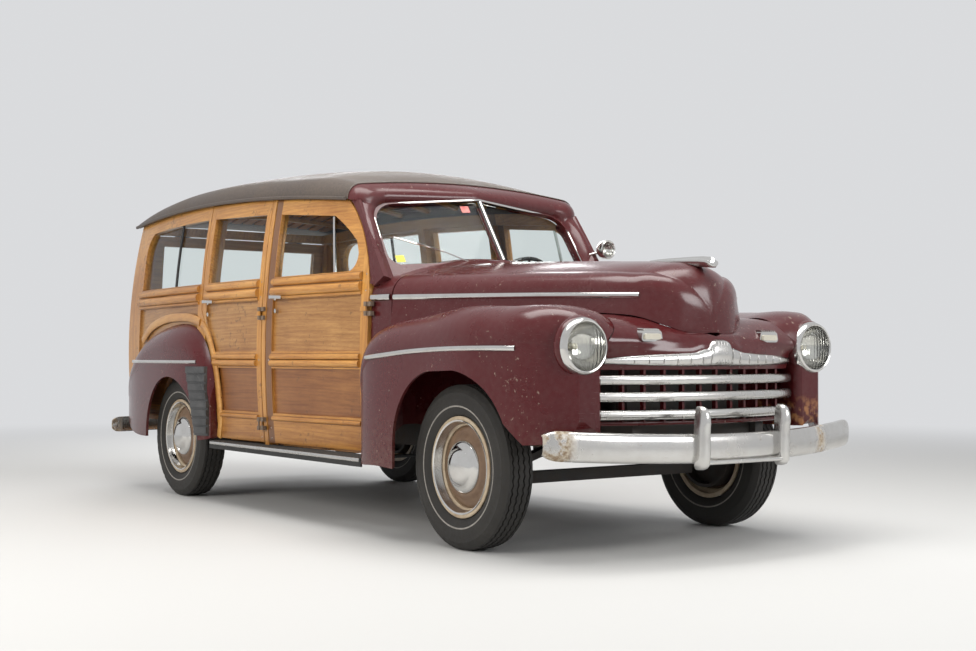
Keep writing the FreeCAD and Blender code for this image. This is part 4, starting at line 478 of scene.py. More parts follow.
def finish_piece(obj, material, body, smooth_angle=40.0):
    """Give a new piece its material, its smooth shading and its body."""
    coat(obj, material)
    mesh = bmesh.new()
    mesh.from_mesh(obj.data)
    bmesh.ops.recalc_face_normals(mesh, faces=mesh.faces)
    mesh.to_mesh(obj.data)
    mesh.free()
    obj.data.shade_smooth()
    obj.data.set_sharp_from_angle(angle=math.radians(smooth_angle))
    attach(obj, body)
    return obj


def raw_mesh(name, points, faces):
    """A mesh object from points and faces."""
    mesh = bpy.data.meshes.new(name)
    mesh.from_pydata([tuple(p) for p in points], [], faces)
    obj = bpy.data.objects.new(name, mesh)
    bpy.context.scene.collection.objects.link(obj)
    return obj


def joined(parts):
    """One list of points and one of faces from several."""
    points = []
    faces = []
    for some_points, some_faces in parts:
        shift = len(points)
        points += list(some_points)
        faces += [tuple(i + shift for i in face) for face in some_faces]
    return points, faces


def piece(name, parts, material, body, smooth_angle=40.0):
    """One finished mesh object from several lists of points and faces."""
    return finish_piece(raw_mesh(name, *joined(parts)), material, body, smooth_angle)


def grid(rows, close_rows=False):
    """Quads over equal rows of points; close_rows joins each row's end to its start."""
    width = len(rows[0])
    points = [p for row in rows for p in row]
    faces = []
    for i in range(len(rows) - 1):
        for j in range(width if close_rows else width - 1):
            k = (j + 1) % width
            faces.append((i * width + j, i * width + k, (i + 1) * width + k, (i + 1) * width + j))
    return points, faces


def loft(rows):
    """Equal closed sections joined into a skin, with both ends closed."""
    points, faces = grid(rows, True)
    width = len(rows[0])
    faces.append(tuple(range(width)))
    faces.append(tuple(range(len(points) - width, len(points))))
    return points, faces


def turned(profile, centre, axis, segments=72):
    """A turned form: (radius, distance along the axis) in millimetres about a line through centre."""
    axis = Vector(axis).normalized()
    side = Vector((0, 0, 1) if abs(axis.z) < 0.9 else (1, 0, 0))
    side = (side - axis * side.dot(axis)).normalized()
    other = axis.cross(side)
    rows = []
    for k in range(segments):
        angle = 2 * math.pi * k / segments
        out = side * math.cos(angle) + other * math.sin(angle)
        rows.append([centre + out * (r / 1000) + axis * (d / 1000) for r, d in profile])
    rows.append(rows[0])
    return grid(rows)


def swept(path, section, outward, closed=False):
    """A bar along a path: the section is (sideways, outward) in millimetres, outward one vector or a list."""
    count = len(path)
    rows = []
    for i, point in enumerate(path):
        if closed:
            tangent = (path[(i + 1) % count] - path[i - 1]).normalized()
        else:
            tangent = (path[min(i + 1, count - 1)] - path[max(i - 1, 0)]).normalized()
        out = Vector(outward[i] if isinstance(outward, list) else outward)
        out = (out - tangent * out.dot(tangent)).normalized()
        side = tangent.cross(out)
        rows.append([point + side * (a / 1000) + out * (b / 1000) for a, b in section])
    return grid(rows + rows[:1], True) if closed else loft(rows)


HALF_ROUND_STEPS = 6


def half_round(width, height):
    """A flat-backed rounded section."""
    section = []
    for k in range(HALF_ROUND_STEPS + 1):
        angle = math.pi * k / HALF_ROUND_STEPS
        section.append((width / 2 * math.cos(angle), height * math.sin(angle)))
    return section


def round_section(radius, steps=10):
    """A round section."""
    return [(radius * math.cos(2 * math.pi * k / steps), radius * math.sin(2 * math.pi * k / steps))
            for k in range(steps)]


def slab(corners_low, corners_high):
    """A closed block between two matching outlines."""
    count = len(corners_low)
    points = list(corners_low) + list(corners_high)
    faces = [tuple(range(count - 1, -1, -1)), tuple(range(count, 2 * count))]
    for i in range(count):
        k = (i + 1) % count
        faces.append((i, k, count + k, count + i))
    return points, faces


def bevelled(obj, width):
    """Round an object's edges by a width in millimetres."""
    mesh = bmesh.new()
    mesh.from_mesh(obj.data)
    bmesh.ops.remove_doubles(mesh, verts=mesh.verts, dist=1e-6)
    bmesh.ops.recalc_face_normals(mesh, faces=mesh.faces)
    sharp = [e for e in mesh.edges if len(e.link_faces) == 2 and e.calc_face_angle(0) > 0.6]
    bmesh.ops.bevel(mesh, geom=sharp, offset=width / 1000, segments=2, profile=0.5, affect="EDGES")
    mesh.to_mesh(obj.data)
    mesh.free()


def resampled(path, count):
    """The same path in equal steps of its length."""
    steps = [0.0]
    for a, b in zip(path, path[1:]):
        steps.append(steps[-1] + (b - a).length)
    result = []
    for k in range(count + 1):
        goal = steps[-1] * k / count
        i = max(j for j in range(len(steps) - 1) if steps[j] <= goal + 1e-9)
        part = (goal - steps[i]) / max(steps[i + 1] - steps[i], 1e-9)
        result.append(path[i].lerp(path[i + 1], min(part, 1.0)))
    return result


def rounded_loop(corners, radii, steps=8):
    """Points round a flat outline with turned corners, in its own two coordinates."""
    loop = []
    count = len(corners)
    for i in range(count):
        p = Vector(corners[i])
        a = (Vector(corners[i - 1]) - p).normalized()
        b = (Vector(corners[(i + 1) % count]) - p).normalized()
        if radii[i] <= 0:
            loop.append(p)
            continue
        half = a.angle(b) / 2
        start = p + a * (radii[i] / math.tan(half))
        end = p + b * (radii[i] / math.tan(half))
        middle = p + (a + b).normalized() * (radii[i] / math.sin(half))
        for k in range(steps + 1):
            ray = start.lerp(end, k / steps) - middle
            ray.normalize()
            loop.append(middle + ray * radii[i])
    return loop


SIDES = {"left": 1, "right": -1}
FORWARD = (0, -1, 0)
REARWARD = (0, 1, 0)
UPWARD = (0, 0, 1)


def on_both_sides(path, section, lean=(0, 0)):
    """One bar on each side of the car, along a path of (u, y, z) that is given for the left."""
    bars = []
    for s in SIDES.values():
        bars.append(swept([at(s * u, y, z) for u, y, z in path], section, (s, *lean)))
    return bars


# Forms of the body, as in the solids

def circle_through(p, q, r):
    """Centre and radius of the circle through three points."""
    ax, ay = p
    bx, by = q
    cx, cy = r
    d = 2 * (ax * (by - cy) + bx * (cy - ay) + cx * (ay - by))
    sa = ax * ax + ay * ay
    sb = bx * bx + by * by
    sc = cx * cx + cy * cy
    x = (sa * (by - cy) + sb * (cy - ay) + sc * (ay - by)) / d
    y = (sa * (cx - bx) + sb * (ax - cx) + sc * (bx - ax)) / d
    return x, y, math.hypot(ax - x, ay - y)


PLAN_Y, PLAN_U, PLAN_R = circle_through((850, 741), (2300, 838), (3885, 768))
DRIP_Y, DRIP_Z, DRIP_R = circle_through((1104, 1616), (2500, 1708), (3851, 1679))
REAR_CY, REAR_CZ, REAR_R = circle_through((3838, 430), (3874, 1000), (3800, 1680))
SIDE_BARREL_R = 4536
SIDE_WIDEST_Z = 850


def side_u(y, z):
    """Half-width of the wooden side."""
    inset = SIDE_BARREL_R - math.sqrt(SIDE_BARREL_R ** 2 - (z - SIDE_WIDEST_Z) ** 2)
    return PLAN_U + math.sqrt((PLAN_R - inset) ** 2 - (y - PLAN_Y) ** 2)


def drip_z(y):
    """Height of the roof's edge."""
    return DRIP_Z + math.sqrt(DRIP_R ** 2 - (y - DRIP_Y) ** 2)


def rear_y(z):
    """Place of the rear wall."""
    return REAR_CY + math.sqrt(REAR_R ** 2 - (z - REAR_CZ) ** 2)


SCREEN_RAKE = math.radians(33.8)
SCREEN_SWEEP = math.radians(10.0)
SCREEN_ORIGIN = (0, 771, 1319)
SCREEN_FACING = (0, -math.cos(SCREEN_RAKE), math.sin(SCREEN_RAKE))


def screen_point(s, t, depth=0.0, side=1):
    """A point of the windscreen plane: s outward, t up the rake, depth inward."""
    e1 = Vector((math.cos(SCREEN_SWEEP), math.sin(SCREEN_SWEEP), 0))
    e2 = Vector((0, math.sin(SCREEN_RAKE), math.cos(SCREEN_RAKE)))
    normal = e1.cross(e2).normalized()
    p = Vector(SCREEN_ORIGIN) + e1 * s + e2 * t - normal * depth
    return at(p.x * side, p.y, p.z)


# Stations of the hood: y, half-width and height of its lower edge, half-width at its shoulder, heights of
# shoulder and top, corner radius
HOOD = [
    (704, 712, 975, 700, 1222, 1300, 110),
    (300, 590, 990, 574, 1212, 1285, 105),
    (-150, 452, 1003, 436, 1200, 1262, 96),
    (-480, 344, 1010, 326, 1186, 1240, 86),
    (-600, 285, 990, 262, 1172, 1224, 80),
    (-665, 205, 955, 190, 1140, 1190, 70),
    (-700, 140, 934, 128, 1095, 1140, 55),
    (-716, 78, 930, 70, 1050, 1085, 36),
    (-722, 22, 930, 18, 1010, 1040, 12),
]
hood_curves = table_curves(HOOD)
HOOD_SIDE_STEPS = 8
HOOD_CORNER_STEPS = 10
HOOD_TOP_STEPS = 22
HOOD_STATIONS = [*range(704, -573, -22), -600, -620, -638, -654, -668, -680, -690, -699, -706, -712, -717,
                 -720, -722]
SHEET = 9.0


def hood_side_u(y, z):
    """Half-width of the hood's side at a height under its shoulder."""
    w_low, z_low, w_high, z_shoulder, z_top, corner = [curve(y) for curve in hood_curves]
    part = min(max((z - z_low) / (z_shoulder - corner - z_low), 0), 1)
    return w_low + (w_high - w_low) * part


def hood_row(y, inset=0.0):
    """Points across the hood from one lower edge to the other."""
    w_low, z_low, w_high, z_shoulder, z_top, corner = [curve(y) for curve in hood_curves]
    half = []
    for k in range(HOOD_SIDE_STEPS):
        t = k / HOOD_SIDE_STEPS
        half.append((w_low + (w_high - w_low) * t, z_low + (z_shoulder - corner - z_low) * t))
    for k in range(HOOD_CORNER_STEPS):
        angle = math.pi / 2 * k / HOOD_CORNER_STEPS
        u = w_high - corner + corner * math.cos(angle)
        half.append((u, z_shoulder - corner + corner * math.sin(angle)))
    flat = w_high - corner
    rise = z_top - z_shoulder
    radius = (flat * flat + rise * rise) / (2 * rise)
    start = math.asin(flat / radius)
    for k in range(HOOD_TOP_STEPS + 1):
        angle = start * (1 - k / HOOD_TOP_STEPS)
        half.append((radius * math.sin(angle), z_top - radius + radius * math.cos(angle)))
    points = [(u, z) for u, z in half] + [(-u, z) for u, z in half[-2::-1]]
    middle_z = (z_low + z_top) / 2
    row = []
    for u, z in points:
        if inset:
            away = Vector((u, z - middle_z * 0.8))
            away.normalize()
            u -= away.x * inset
            z -= max(away.y, 0) * inset
        row.append(at(u, y, z))
    return row


def make_hood_skin():
    """Pressed steel lid with its folded edge."""
    rows = [hood_row(y) for y in HOOD_STATIONS]
    inner = [hood_row(y + (6 if y < -600 else 0), SHEET) for y in HOOD_STATIONS]
    points, faces = grid(rows)
    inner_points, inner_faces = grid(inner)
    width = len(rows[0])
    count = len(points)
    last = count - width
    faces += [tuple(count + i for i in reversed(face)) for face in inner_faces]
    for j in range(width - 1):
        faces.append((j, j + 1, count + j + 1, count + j))
        faces.append((last + j + 1, last + j, count + last + j, count + last + j + 1))
    for a in range(0, last, width):
        b = a + width
        faces.append((a, b, count + b, count + a))
        faces.append((b + width - 1, a + width - 1, count + a + width - 1, count + b + width - 1))
    faces.append(tuple(range(last, count)))
    skin = piece("hood_skin", [(points + inner_points, faces)], LACQUER, "hood", 32)
    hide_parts("hood")


SCUTTLE_STRIP = (850, 800, 760, 716)


def hood_strips():
    """Bright spears along the hood's sides and their ends on the scuttle."""
    height = spline([-573, -150, 704], [1085, 1096, 1112])
    spear = []
    for k in range(60):
        y = 700 - (700 + 573) * k / 59
        z = height(y)
        spear.append((hood_side_u(y, z) + 0.5, y, z))
    spears = on_both_sides(spear, half_round(26, 8), (-0.25, 0.05))
    piece("hood_side_strips", spears, BRIGHT, "hood")
    end = [(side_u(y, 1110) - 8 + (860 - y) * -0.045 + 7, y, 1113) for y in SCUTTLE_STRIP]
    piece("scuttle_side_strips", on_both_sides(end, half_round(30, 8)), BRIGHT, "body")


make_hood_skin()
hood_strips()


# Bright spears on the wings, which follow the half-widths of the solids

front_wing_u = spline([700, 640, 362, 38, -259, -481, -600, -652, -682],
                      [872, 902, 922, 926, 920, 876, 798, 736, 700])
rear_wing_u = spline([2392, 2470, 2600, 2820, 3100, 3400, 3600, 3716],
                     [862, 896, 918, 930, 924, 902, 866, 826])


def wing_spears():
    """Bright spears on the four wings."""
    height = spline([-500, -300, 200, 590], [862, 864, 852, 824])
    parts = []
    for s in SIDES.values():
        front = [at(s * (front_wing_u(y) + 0.5), y, height(y)) for y in range(590, -489, -22)]
        parts.append(swept(front, half_round(22, 8), (s, 0, 0.08)))
        rear = [at(s * (rear_wing_u(y) + 0.5), y, 798) for y in range(2500, 3491, 22)]
        parts.append(swept(rear, half_round(20, 7), (s, 0, 0)))
    piece("wing_spears", parts, BRIGHT, "body")


wing_spears()


# Solids that keep their shape and get a finish

CARRIED = {
    LACQUER: ["front_wings", "rear_wings", "cowl"],
    SIDE_WOOD: ["body_frame", "front_door_left", "front_door_right", "rear_door_left", "rear_door_right"],
    CROSS_WOOD: ["liftgate", "tailgate"],
    GLASS: ["windscreen", "quarter_glass", "front_door_glass_left", "front_door_glass_right",
            "rear_door_glass_left", "rear_door_glass_right", "liftgate_glass"],
    HINGE_DARK: ["hinges"],
    SEAL_BLACK: ["running_boards"],
    PAD_RUBBER: ["wing_pads"],
    IRON_BLACK: ["chassis_frame", "front_axle", "rear_axle", "springs", "fuel_tank", "radiator",
                 "knuckle_left", "knuckle_right"],
    ENGINE_GREY: ["engine"],
    EXHAUST_RUST: ["exhaust"],
    FLOOR_DARK: ["floor"],
    WHEEL_GLOSS: ["steering_wheel", "steering_column"],
    LINING_WOOD: ["dashboard"],
}
for material, nodes in CARRIED.items():
    for node in nodes:
        coat(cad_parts[node], material)
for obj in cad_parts.values():
    obj.data.shade_smooth()
    obj.data.set_sharp_from_angle(angle=math.radians(24))


# Roof, seams and screen surround

SEAM_Y = 1095.0
ROOF_END_Y = 3862

# Stations of the roof: y, half-width, height of its top, corner radius
ROOF = [
    (930, 716, 1668, 52),
    (1250, 732, 1790, 104),
    (1800, 766, 1876, 112),
    (2500, 778, 1897, 112),
    (3200, 760, 1852, 95),
    (3700, 728, 1768, 56),
    (3880, 712, 1724, 30),
]
roof_curves = table_curves(ROOF)


def roof_section(y):
    """Edge height, half-width up to the corner, corner radius, crown radius and height of its centre."""
    w, z_top, corner = [curve(y) for curve in roof_curves]
    z_edge = drip_z(y)
    rise = z_top - z_edge
    flat = w - corner
    crown = (flat * flat + rise * rise - corner * corner) / (2 * (rise - corner))
    return z_edge, flat, corner, crown, z_top - crown


def roof_row(y, out=0.0, count=40):
    """Points over the roof from one edge to the other."""
    z_edge, flat, corner, crown, centre = roof_section(y)
    angle = math.atan2(flat, z_edge - centre)
    points = []
    for k in range(8):
        turn = (math.pi / 2 - angle) * k / 8
        points.append(((flat + (corner + out) * math.cos(turn)), z_edge + (corner + out) * math.sin(turn)))
    for k in range(count + 1):
        turn = angle * (1 - k / count)
        points.append(((crown + out) * math.sin(turn), centre + (crown + out) * math.cos(turn)))
    points += [(-u, z) for u, z in points[-2::-1]]
    return [at(u, y, z) for u, z in points]


def roof_trim():
    """Drip rails along the roof's edges and the beading over the header's seam."""
    edge = []
    for k in range(110):
        y = 1100 + (3868 - 1100) * k / 109
        edge.append((roof_curves[0](y) + 3, y, drip_z(y) + 2))
    rails = on_both_sides(edge, [(9, -4), (9, 6), (5, 10), (-5, 10), (-9, 6), (-9, -4)])
    piece("drip_rails", rails, ROOF_CLOTH, "body")
    row = roof_row(SEAM_Y, 1.0)
    outs = [(point - at(0, SEAM_Y, 900)).normalized() for point in row]
    piece("header_beading", [swept(row, half_round(13, 5), outs)], ROOF_CLOTH, "body")


def roof_skin():
    """Covered roof with its turned-down rear edge, as one smooth shell."""
    stations = [SEAM_Y + (ROOF_END_Y - SEAM_Y) * k / 110 for k in range(111)]
    rows = [roof_row(y) for y in stations]
    rows += [roof_row(3870, -2.0), roof_row(3876, -5.0), roof_row(3880, -11.0), roof_row(3880, -20.0)]
    rows += [roof_row(y, -24.0) for y in reversed(stations)]
    points, faces = grid(rows)
    width = len(rows[0])
    last = len(rows) - 1
    for i in range(len(rows) // 2):
        a = i * width
        b = (i + 1) * width
        c = (last - i) * width
        d = (last - i - 1) * width
        faces.append((a, b, d, c))
        faces.append((b + width - 1, a + width - 1, c + width - 1, d + width - 1))
    shell = piece("roof_skin", [(points, faces)], ROOF_CLOTH, "body", 50)
    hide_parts("roof")


EDGE_CY, EDGE_CZ, EDGE_R = circle_through((868, 1150), (908, 1341), (1104, 1616))


def door_edge_y(z):
    """Front edge of the front door."""
    if z < 1150:
        return 868.0
    return EDGE_CY - math.sqrt(EDGE_R ** 2 - (z - EDGE_CZ) ** 2)


def screen_frame():
    """Rounded steel round the screen: both pillars and the header in one sweep."""
    outline = rounded_loop([(650, -112), (642, -60), (624, 326), (0, 392)], [0, 0, 124, 0], 14)
    inner = [screen_point(s, t, -2) for s, t in outline]
    inner = resampled(inner[:3], 18)[:-1] + resampled(inner[2:17], 16)[:-1] + resampled(inner[16:], 22)
    side = []
    for k in range(41):
        z = 1224 + (1606 - 1224) * k / 40
        y = door_edge_y(z) - 7
        side.append(at(side_u(y, z), y, z))
    over = [p for p in roof_row(SEAM_Y, 0.0) if p.x >= -1e-6]
    corner = [p for p in over if p.x > 0.60]
    crown = [corner[-1]] + [p for p in over if p.x <= 0.60]
    outer = resampled(side[:30], 18)[:-1] + resampled(side[29:] + corner, 16)[:-1] + resampled(crown, 22)
    rows = []
    count = len(inner)
    for i in range(count):
        across = outer[i] - inner[i]
        along = inner[min(i + 1, count - 1)] - inner[max(i - 1, 0)]
        out = along.cross(across).normalized()
        if out.y > 0:
            out = -out
        if i == count - 1:
            out = Vector((0, out.y, out.z)).normalized()
        up = min(1.0, max(0.0, (i - 17) / 16))
        reach = across.length * (1.62 * (1 - up) + 1.12 * up) * min(1.0, 0.1 + i * 0.09)
        start = (out * 0.9 + across.normalized() * 0.5) * reach
        end = (Vector((0, 1, 0)) * (1 - up) + Vector((0, 0.93, 0.36)) * up) * reach
        row = []
        for k in range(13):
            v = k / 12
            row.append(inner[i] * (2 * v ** 3 - 3 * v ** 2 + 1) + start * (v ** 3 - 2 * v ** 2 + v)
                       + outer[i] * (-2 * v ** 3 + 3 * v ** 2) + end * (v ** 3 - v ** 2))
        for k in (9, 6, 3):
            row.append(inner[i] + across * (k / 12) + out * 0.002)
        rows.append(row)
    foot = []
    for t in (1.0, 0.8, 0.6, 0.4, 0.2):
        foot.append([p + Vector((-0.034 * t * t, 0.0, -0.062 * t)) for p in rows[0]])
    rows = foot + rows
    rows += [[Vector((-p.x, p.y, p.z)) for p in row] for row in rows[-2::-1]]
    frame_piece = piece("screen_frame", [grid(rows, True)], LACQUER, "body", 50)
    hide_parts("roof_header")


def screen_trim():
    """Bright surround of the screen, the middle bar, the wipers and two plain labels."""

    def on_screen(s, t):
        """A point of either half of the screen, just outside the pane."""
        return screen_point(abs(s), t, -3, 1 if s >= 0 else -1)

    corners = rounded_loop([(-642, -66), (642, -66), (624, 326), (0, 392), (-624, 326)],
                           [76, 76, 124, 0, 124], 10)
    path = []
    for i, corner in enumerate(corners):
        following = corners[(i + 1) % len(corners)]
        steps = max(1, int((on_screen(*following) - on_screen(*corner)).length / 0.045))
        for k in range(steps):
            s, t = corner.lerp(following, k / steps)
            if t < 0 and abs(s) < 566:
                t = -8 - 54 * (abs(s) / 640)
            path.append(on_screen(s, t))
    piece("screen_surround", [swept(path, half_round(15, 6), SCREEN_FACING, True)], BRIGHT, "body")
    bar = [screen_point(0, t, -6) for t in range(-4, 391, 20)]
    piece("screen_bar", [swept(bar, half_round(34, 5), SCREEN_FACING)], SEAL_BLACK, "body")
    strip = [screen_point(0, t, -10) for t in range(-4, 391, 20)]
    piece("screen_bar_strip", [swept(strip, half_round(15, 4), SCREEN_FACING)], BRIGHT, "body")
    parts = []
    for s, lift in ((-1, 1.0), (1, 0.35)):
        pivot = screen_point(175, -40, -12, s)
        end = screen_point(450, -36 + 120 * lift, -13, s)
        elbow = pivot.lerp(end, 0.5) + Vector(SCREEN_FACING) * 0.006
        parts.append(swept([pivot, elbow, end], round_section(2.4, 8), SCREEN_FACING))
        tip = screen_point(566, -34 + 150 * lift, -8, s)
        heel = screen_point(318, -30 + 66 * lift, -8, s)
        blade = [tip, tip.lerp(heel, 0.5), heel]
        parts.append(swept(blade, [(2, -3), (2, 3), (-2, 3), (-2, -3)], SCREEN_FACING))
        parts.append(turned([(0, 20), (8, 18), (10, 12), (12, 0), (0, 0)], screen_point(175, -40, 0, s),
                            SCREEN_FACING, 20))
    piece("wipers", parts, DULL_BRIGHT, "body")
    outline = ((-24, -20), (24, -24), (24, 18), (-24, 22))
    for name, s0, t0, material in (("yellow_label", 560, -2, LABEL_YELLOW),
                                   ("red_label", 90, 336, LABEL_RED)):
        low = [screen_point(s0 + a, t0 + b, 11.4, -1) for a, b in outline]
        high = [screen_point(s0 + a, t0 + b, 11.0, -1) for a, b in outline]
        piece(name, [slab(low, high)], material, "body")


roof_trim()
roof_skin()
screen_frame()
screen_trim()


# Nose, grille, crown and lamps

NOSE_CENTRE_Y = 569.0
NOSE_R = 1333.0
CROWN_BACK_R = 1331.0
STAY_R = 1307.0
BOW_STEPS = 40


def bow_y(u, radius):
    """Place of a bowed front at a distance from the middle."""
    return NOSE_CENTRE_Y - math.sqrt(radius ** 2 - u * u)


def bow_path(y_mid, reach, z):
    """Points of a bar that bows forward in plan."""
    radius = NOSE_CENTRE_Y - y_mid
    path = []
    for k in range(BOW_STEPS + 1):
        u = -reach + 2 * reach * k / BOW_STEPS
        path.append(at(u, bow_y(u, radius), z))
    return path


def bow_outs(path):
    """Outward directions of a bowed bar."""
    return [(p - at(0, NOSE_CENTRE_Y, 0)) * Vector((1, 1, 0)) for p in path]


# Matching points (u, y, z) on the hood's foot and on the wing, from behind forward and down; then the top of
# the crown (u, z) from the middle outward
HOOD_FOOT = [(360, -430, 1008), (344, -480, 1006), (312, -545, 997), (281, -600, 986), (240, -638, 966),
             (201, -665, 951), (165, -688, 938), (136, -701, 930), (95, -713, 926), (40, -726, 924),
             (0, -738, 914), (0, -752, 894), (0, -764, 868)]
WING_FOOT = [(462, -430, 1006), (468, -481, 1003), (474, -545, 996), (476, -600, 985), (484, -630, 966),
             (494, -652, 945), (512, -666, 925), (532, -672, 905), (546, -672, 888), (553, -668, 872),
             (556, -656, 858), (556, -644, 848), (554, -634, 840)]
CROWN_TOP = [(0, 868), (60, 868), (104, 866), (118, 858), (134, 846), (180, 843), (554, 840)]


def nose_skin():
    """Painted nose between the wings: from the hood's foot over the lamps down to the crown."""
    top = resampled([Vector((u, z, 0)) for u, z in CROWN_TOP], 30)
    parts = []
    for s in SIDES.values():
        rows = []
        for i, (foot, wing) in enumerate(zip(HOOD_FOOT, WING_FOOT)):
            b = i / (len(HOOD_FOOT) - 1)
            row = []
            for k in range(31):
                a = k / 30
                u, y, z = [f + (w - f) * a for f, w in zip(foot, wing)]
                u_end, z_end = top[k].x, top[k].y
                y_end = bow_y(u_end, NOSE_R)
                last_u, last_y, last_z = [f + (w - f) * a for f, w in zip(HOOD_FOOT[-1], WING_FOOT[-1])]
                pull = b ** 1.6
                u += (u_end - last_u) * pull
                y += (y_end - last_y) * pull
                z += (z_end - last_z) * b ** 3
                row.append(at(s * u, y, z))
            rows.append(row)
        rows.append([Vector((p.x, p.y + 0.020, 0.776)) for p in rows[-1]])
        parts.append(grid(rows))
    for u in range(-450, 451, 90):
        y_front = bow_y(u, STAY_R)
        ring = []
        for z in (560, 790):
            ring.append([at(u - 6, y_front, z), at(u + 6, y_front, z), at(u + 6, y_front + 22, z),
                         at(u - 6, y_front + 22, z)])
        parts.append(slab(*ring))
    for z in (557, 783):
        path = bow_path(-736, 556, z)
        parts.append(swept(path, [(9, -14), (9, -3), (6, 0), (-6, 0), (-9, -3), (-9, -14)], bow_outs(path)))
    nose = piece("nose_skin", parts, LACQUER, "body", 50)
    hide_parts("nose_panel")


CROWN_HIGH = spline([0, 30, 50, 62, 90, 112, 135, 200, 400, 540],
                    [900, 898, 890, 872, 862, 856, 850, 845, 836, 824])
BAR_SECTION = [(20, -26), (20, -8), (18, -3), (14, 0.6), (7, 3), (0, 3.8), (-7, 3), (-14, 0.6), (-18, -3),
               (-20, -8), (-20, -26)]


def grille_bars():
    """Three rounded bars and the winged crown over them."""
    parts = []
    for z, reach in ((734, 560), (665, 561), (592, 559)):
        path = bow_path(-768, reach, z)
        parts.append(swept(path, BAR_SECTION, bow_outs(path)))
    bars = piece("grille_bars", parts, DULL_BRIGHT, "body")
    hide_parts("grille")
    rows = []
    for k in range(-60, 61):
        u = 540.0 * k / 60
        z_high = CROWN_HIGH(abs(u))
        z_low = 789 + 10 * (abs(u) / 540) ** 3
        swell = 17 - 8 * abs(u) / 540 + (7 if abs(u) < 53 else 0)
        y_back = bow_y(u, CROWN_BACK_R)
        out = (at(u, y_back, 0) - at(0, NOSE_CENTRE_Y, 0)) * Vector((1, 1, 0))
        out.normalize()
        row = []
        for part, b in ((0, -24), (0, -4), (0.05, 3), (0.16, 8), (0.4, 11), (0.62, 11), (0.84, 7), (0.95, 2),
                        (1, -4), (1, -24)):
            row.append(at(u, y_back, z_low + (z_high - z_low) * part) + out * (b * swell / 11000))
        rows.append(row)
    parts = [loft(rows)]
    for u in [s * v for s in (-1, 1) for v in (8, 24, 62, 108, 172, 236, 300, 364, 428)]:
        y_front = bow_y(u, CROWN_BACK_R) - 15 + abs(u) / 90
        z_high = CROWN_HIGH(abs(u)) - 9
        path = [at(u, y_front + 5, 798), at(u, y_front - 3, 806), at(u, y_front - 3, (806 + z_high) / 2),
                at(u, y_front + 1, z_high)]
        parts.append(swept(path, half_round(3.4 if abs(u) > 30 else 9, 2.2), FORWARD))
    crown = piece("grille_crown_wings", parts, DULL_BRIGHT, "body", 38)
    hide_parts("grille_crown")


HEADLAMP = (671, -650, 869)
PARKING_U = 344
PARKING_Z = 914
SPOT_LAMP = (725, 815, 1408)
TAIL_LAMP = (700, 960)

# Lathe profiles: radius and distance along the axis, in millimetres
HEADLAMP_RIM = [(96, 38), (99, 45), (103, 46.5), (108, 43), (113, 35), (116, 26), (117, 14), (110, 10),
                (102, 34)]
HEADLAMP_BOWL = [(97, 32), (88, 8), (70, -22), (44, -42), (20, -50), (0, -51)]
HEADLAMP_GLASS = [(98, 34), (80, 41), (50, 47), (22, 50), (0, 50.5), (0, 46.5), (22, 46), (50, 43), (80, 37),
                  (96, 30)]
HEADLAMP_SHELL = [(112, 18), (118, 17), (122, 10), (124, -4), (122, -14), (105, -20), (105, -90), (60, -110),
                  (0, -112)]
SPOT_SHELL = [(40, 27), (46, 30), (51, 26), (52, 14), (48, -14), (36, -34), (18, -44), (0, -47)]


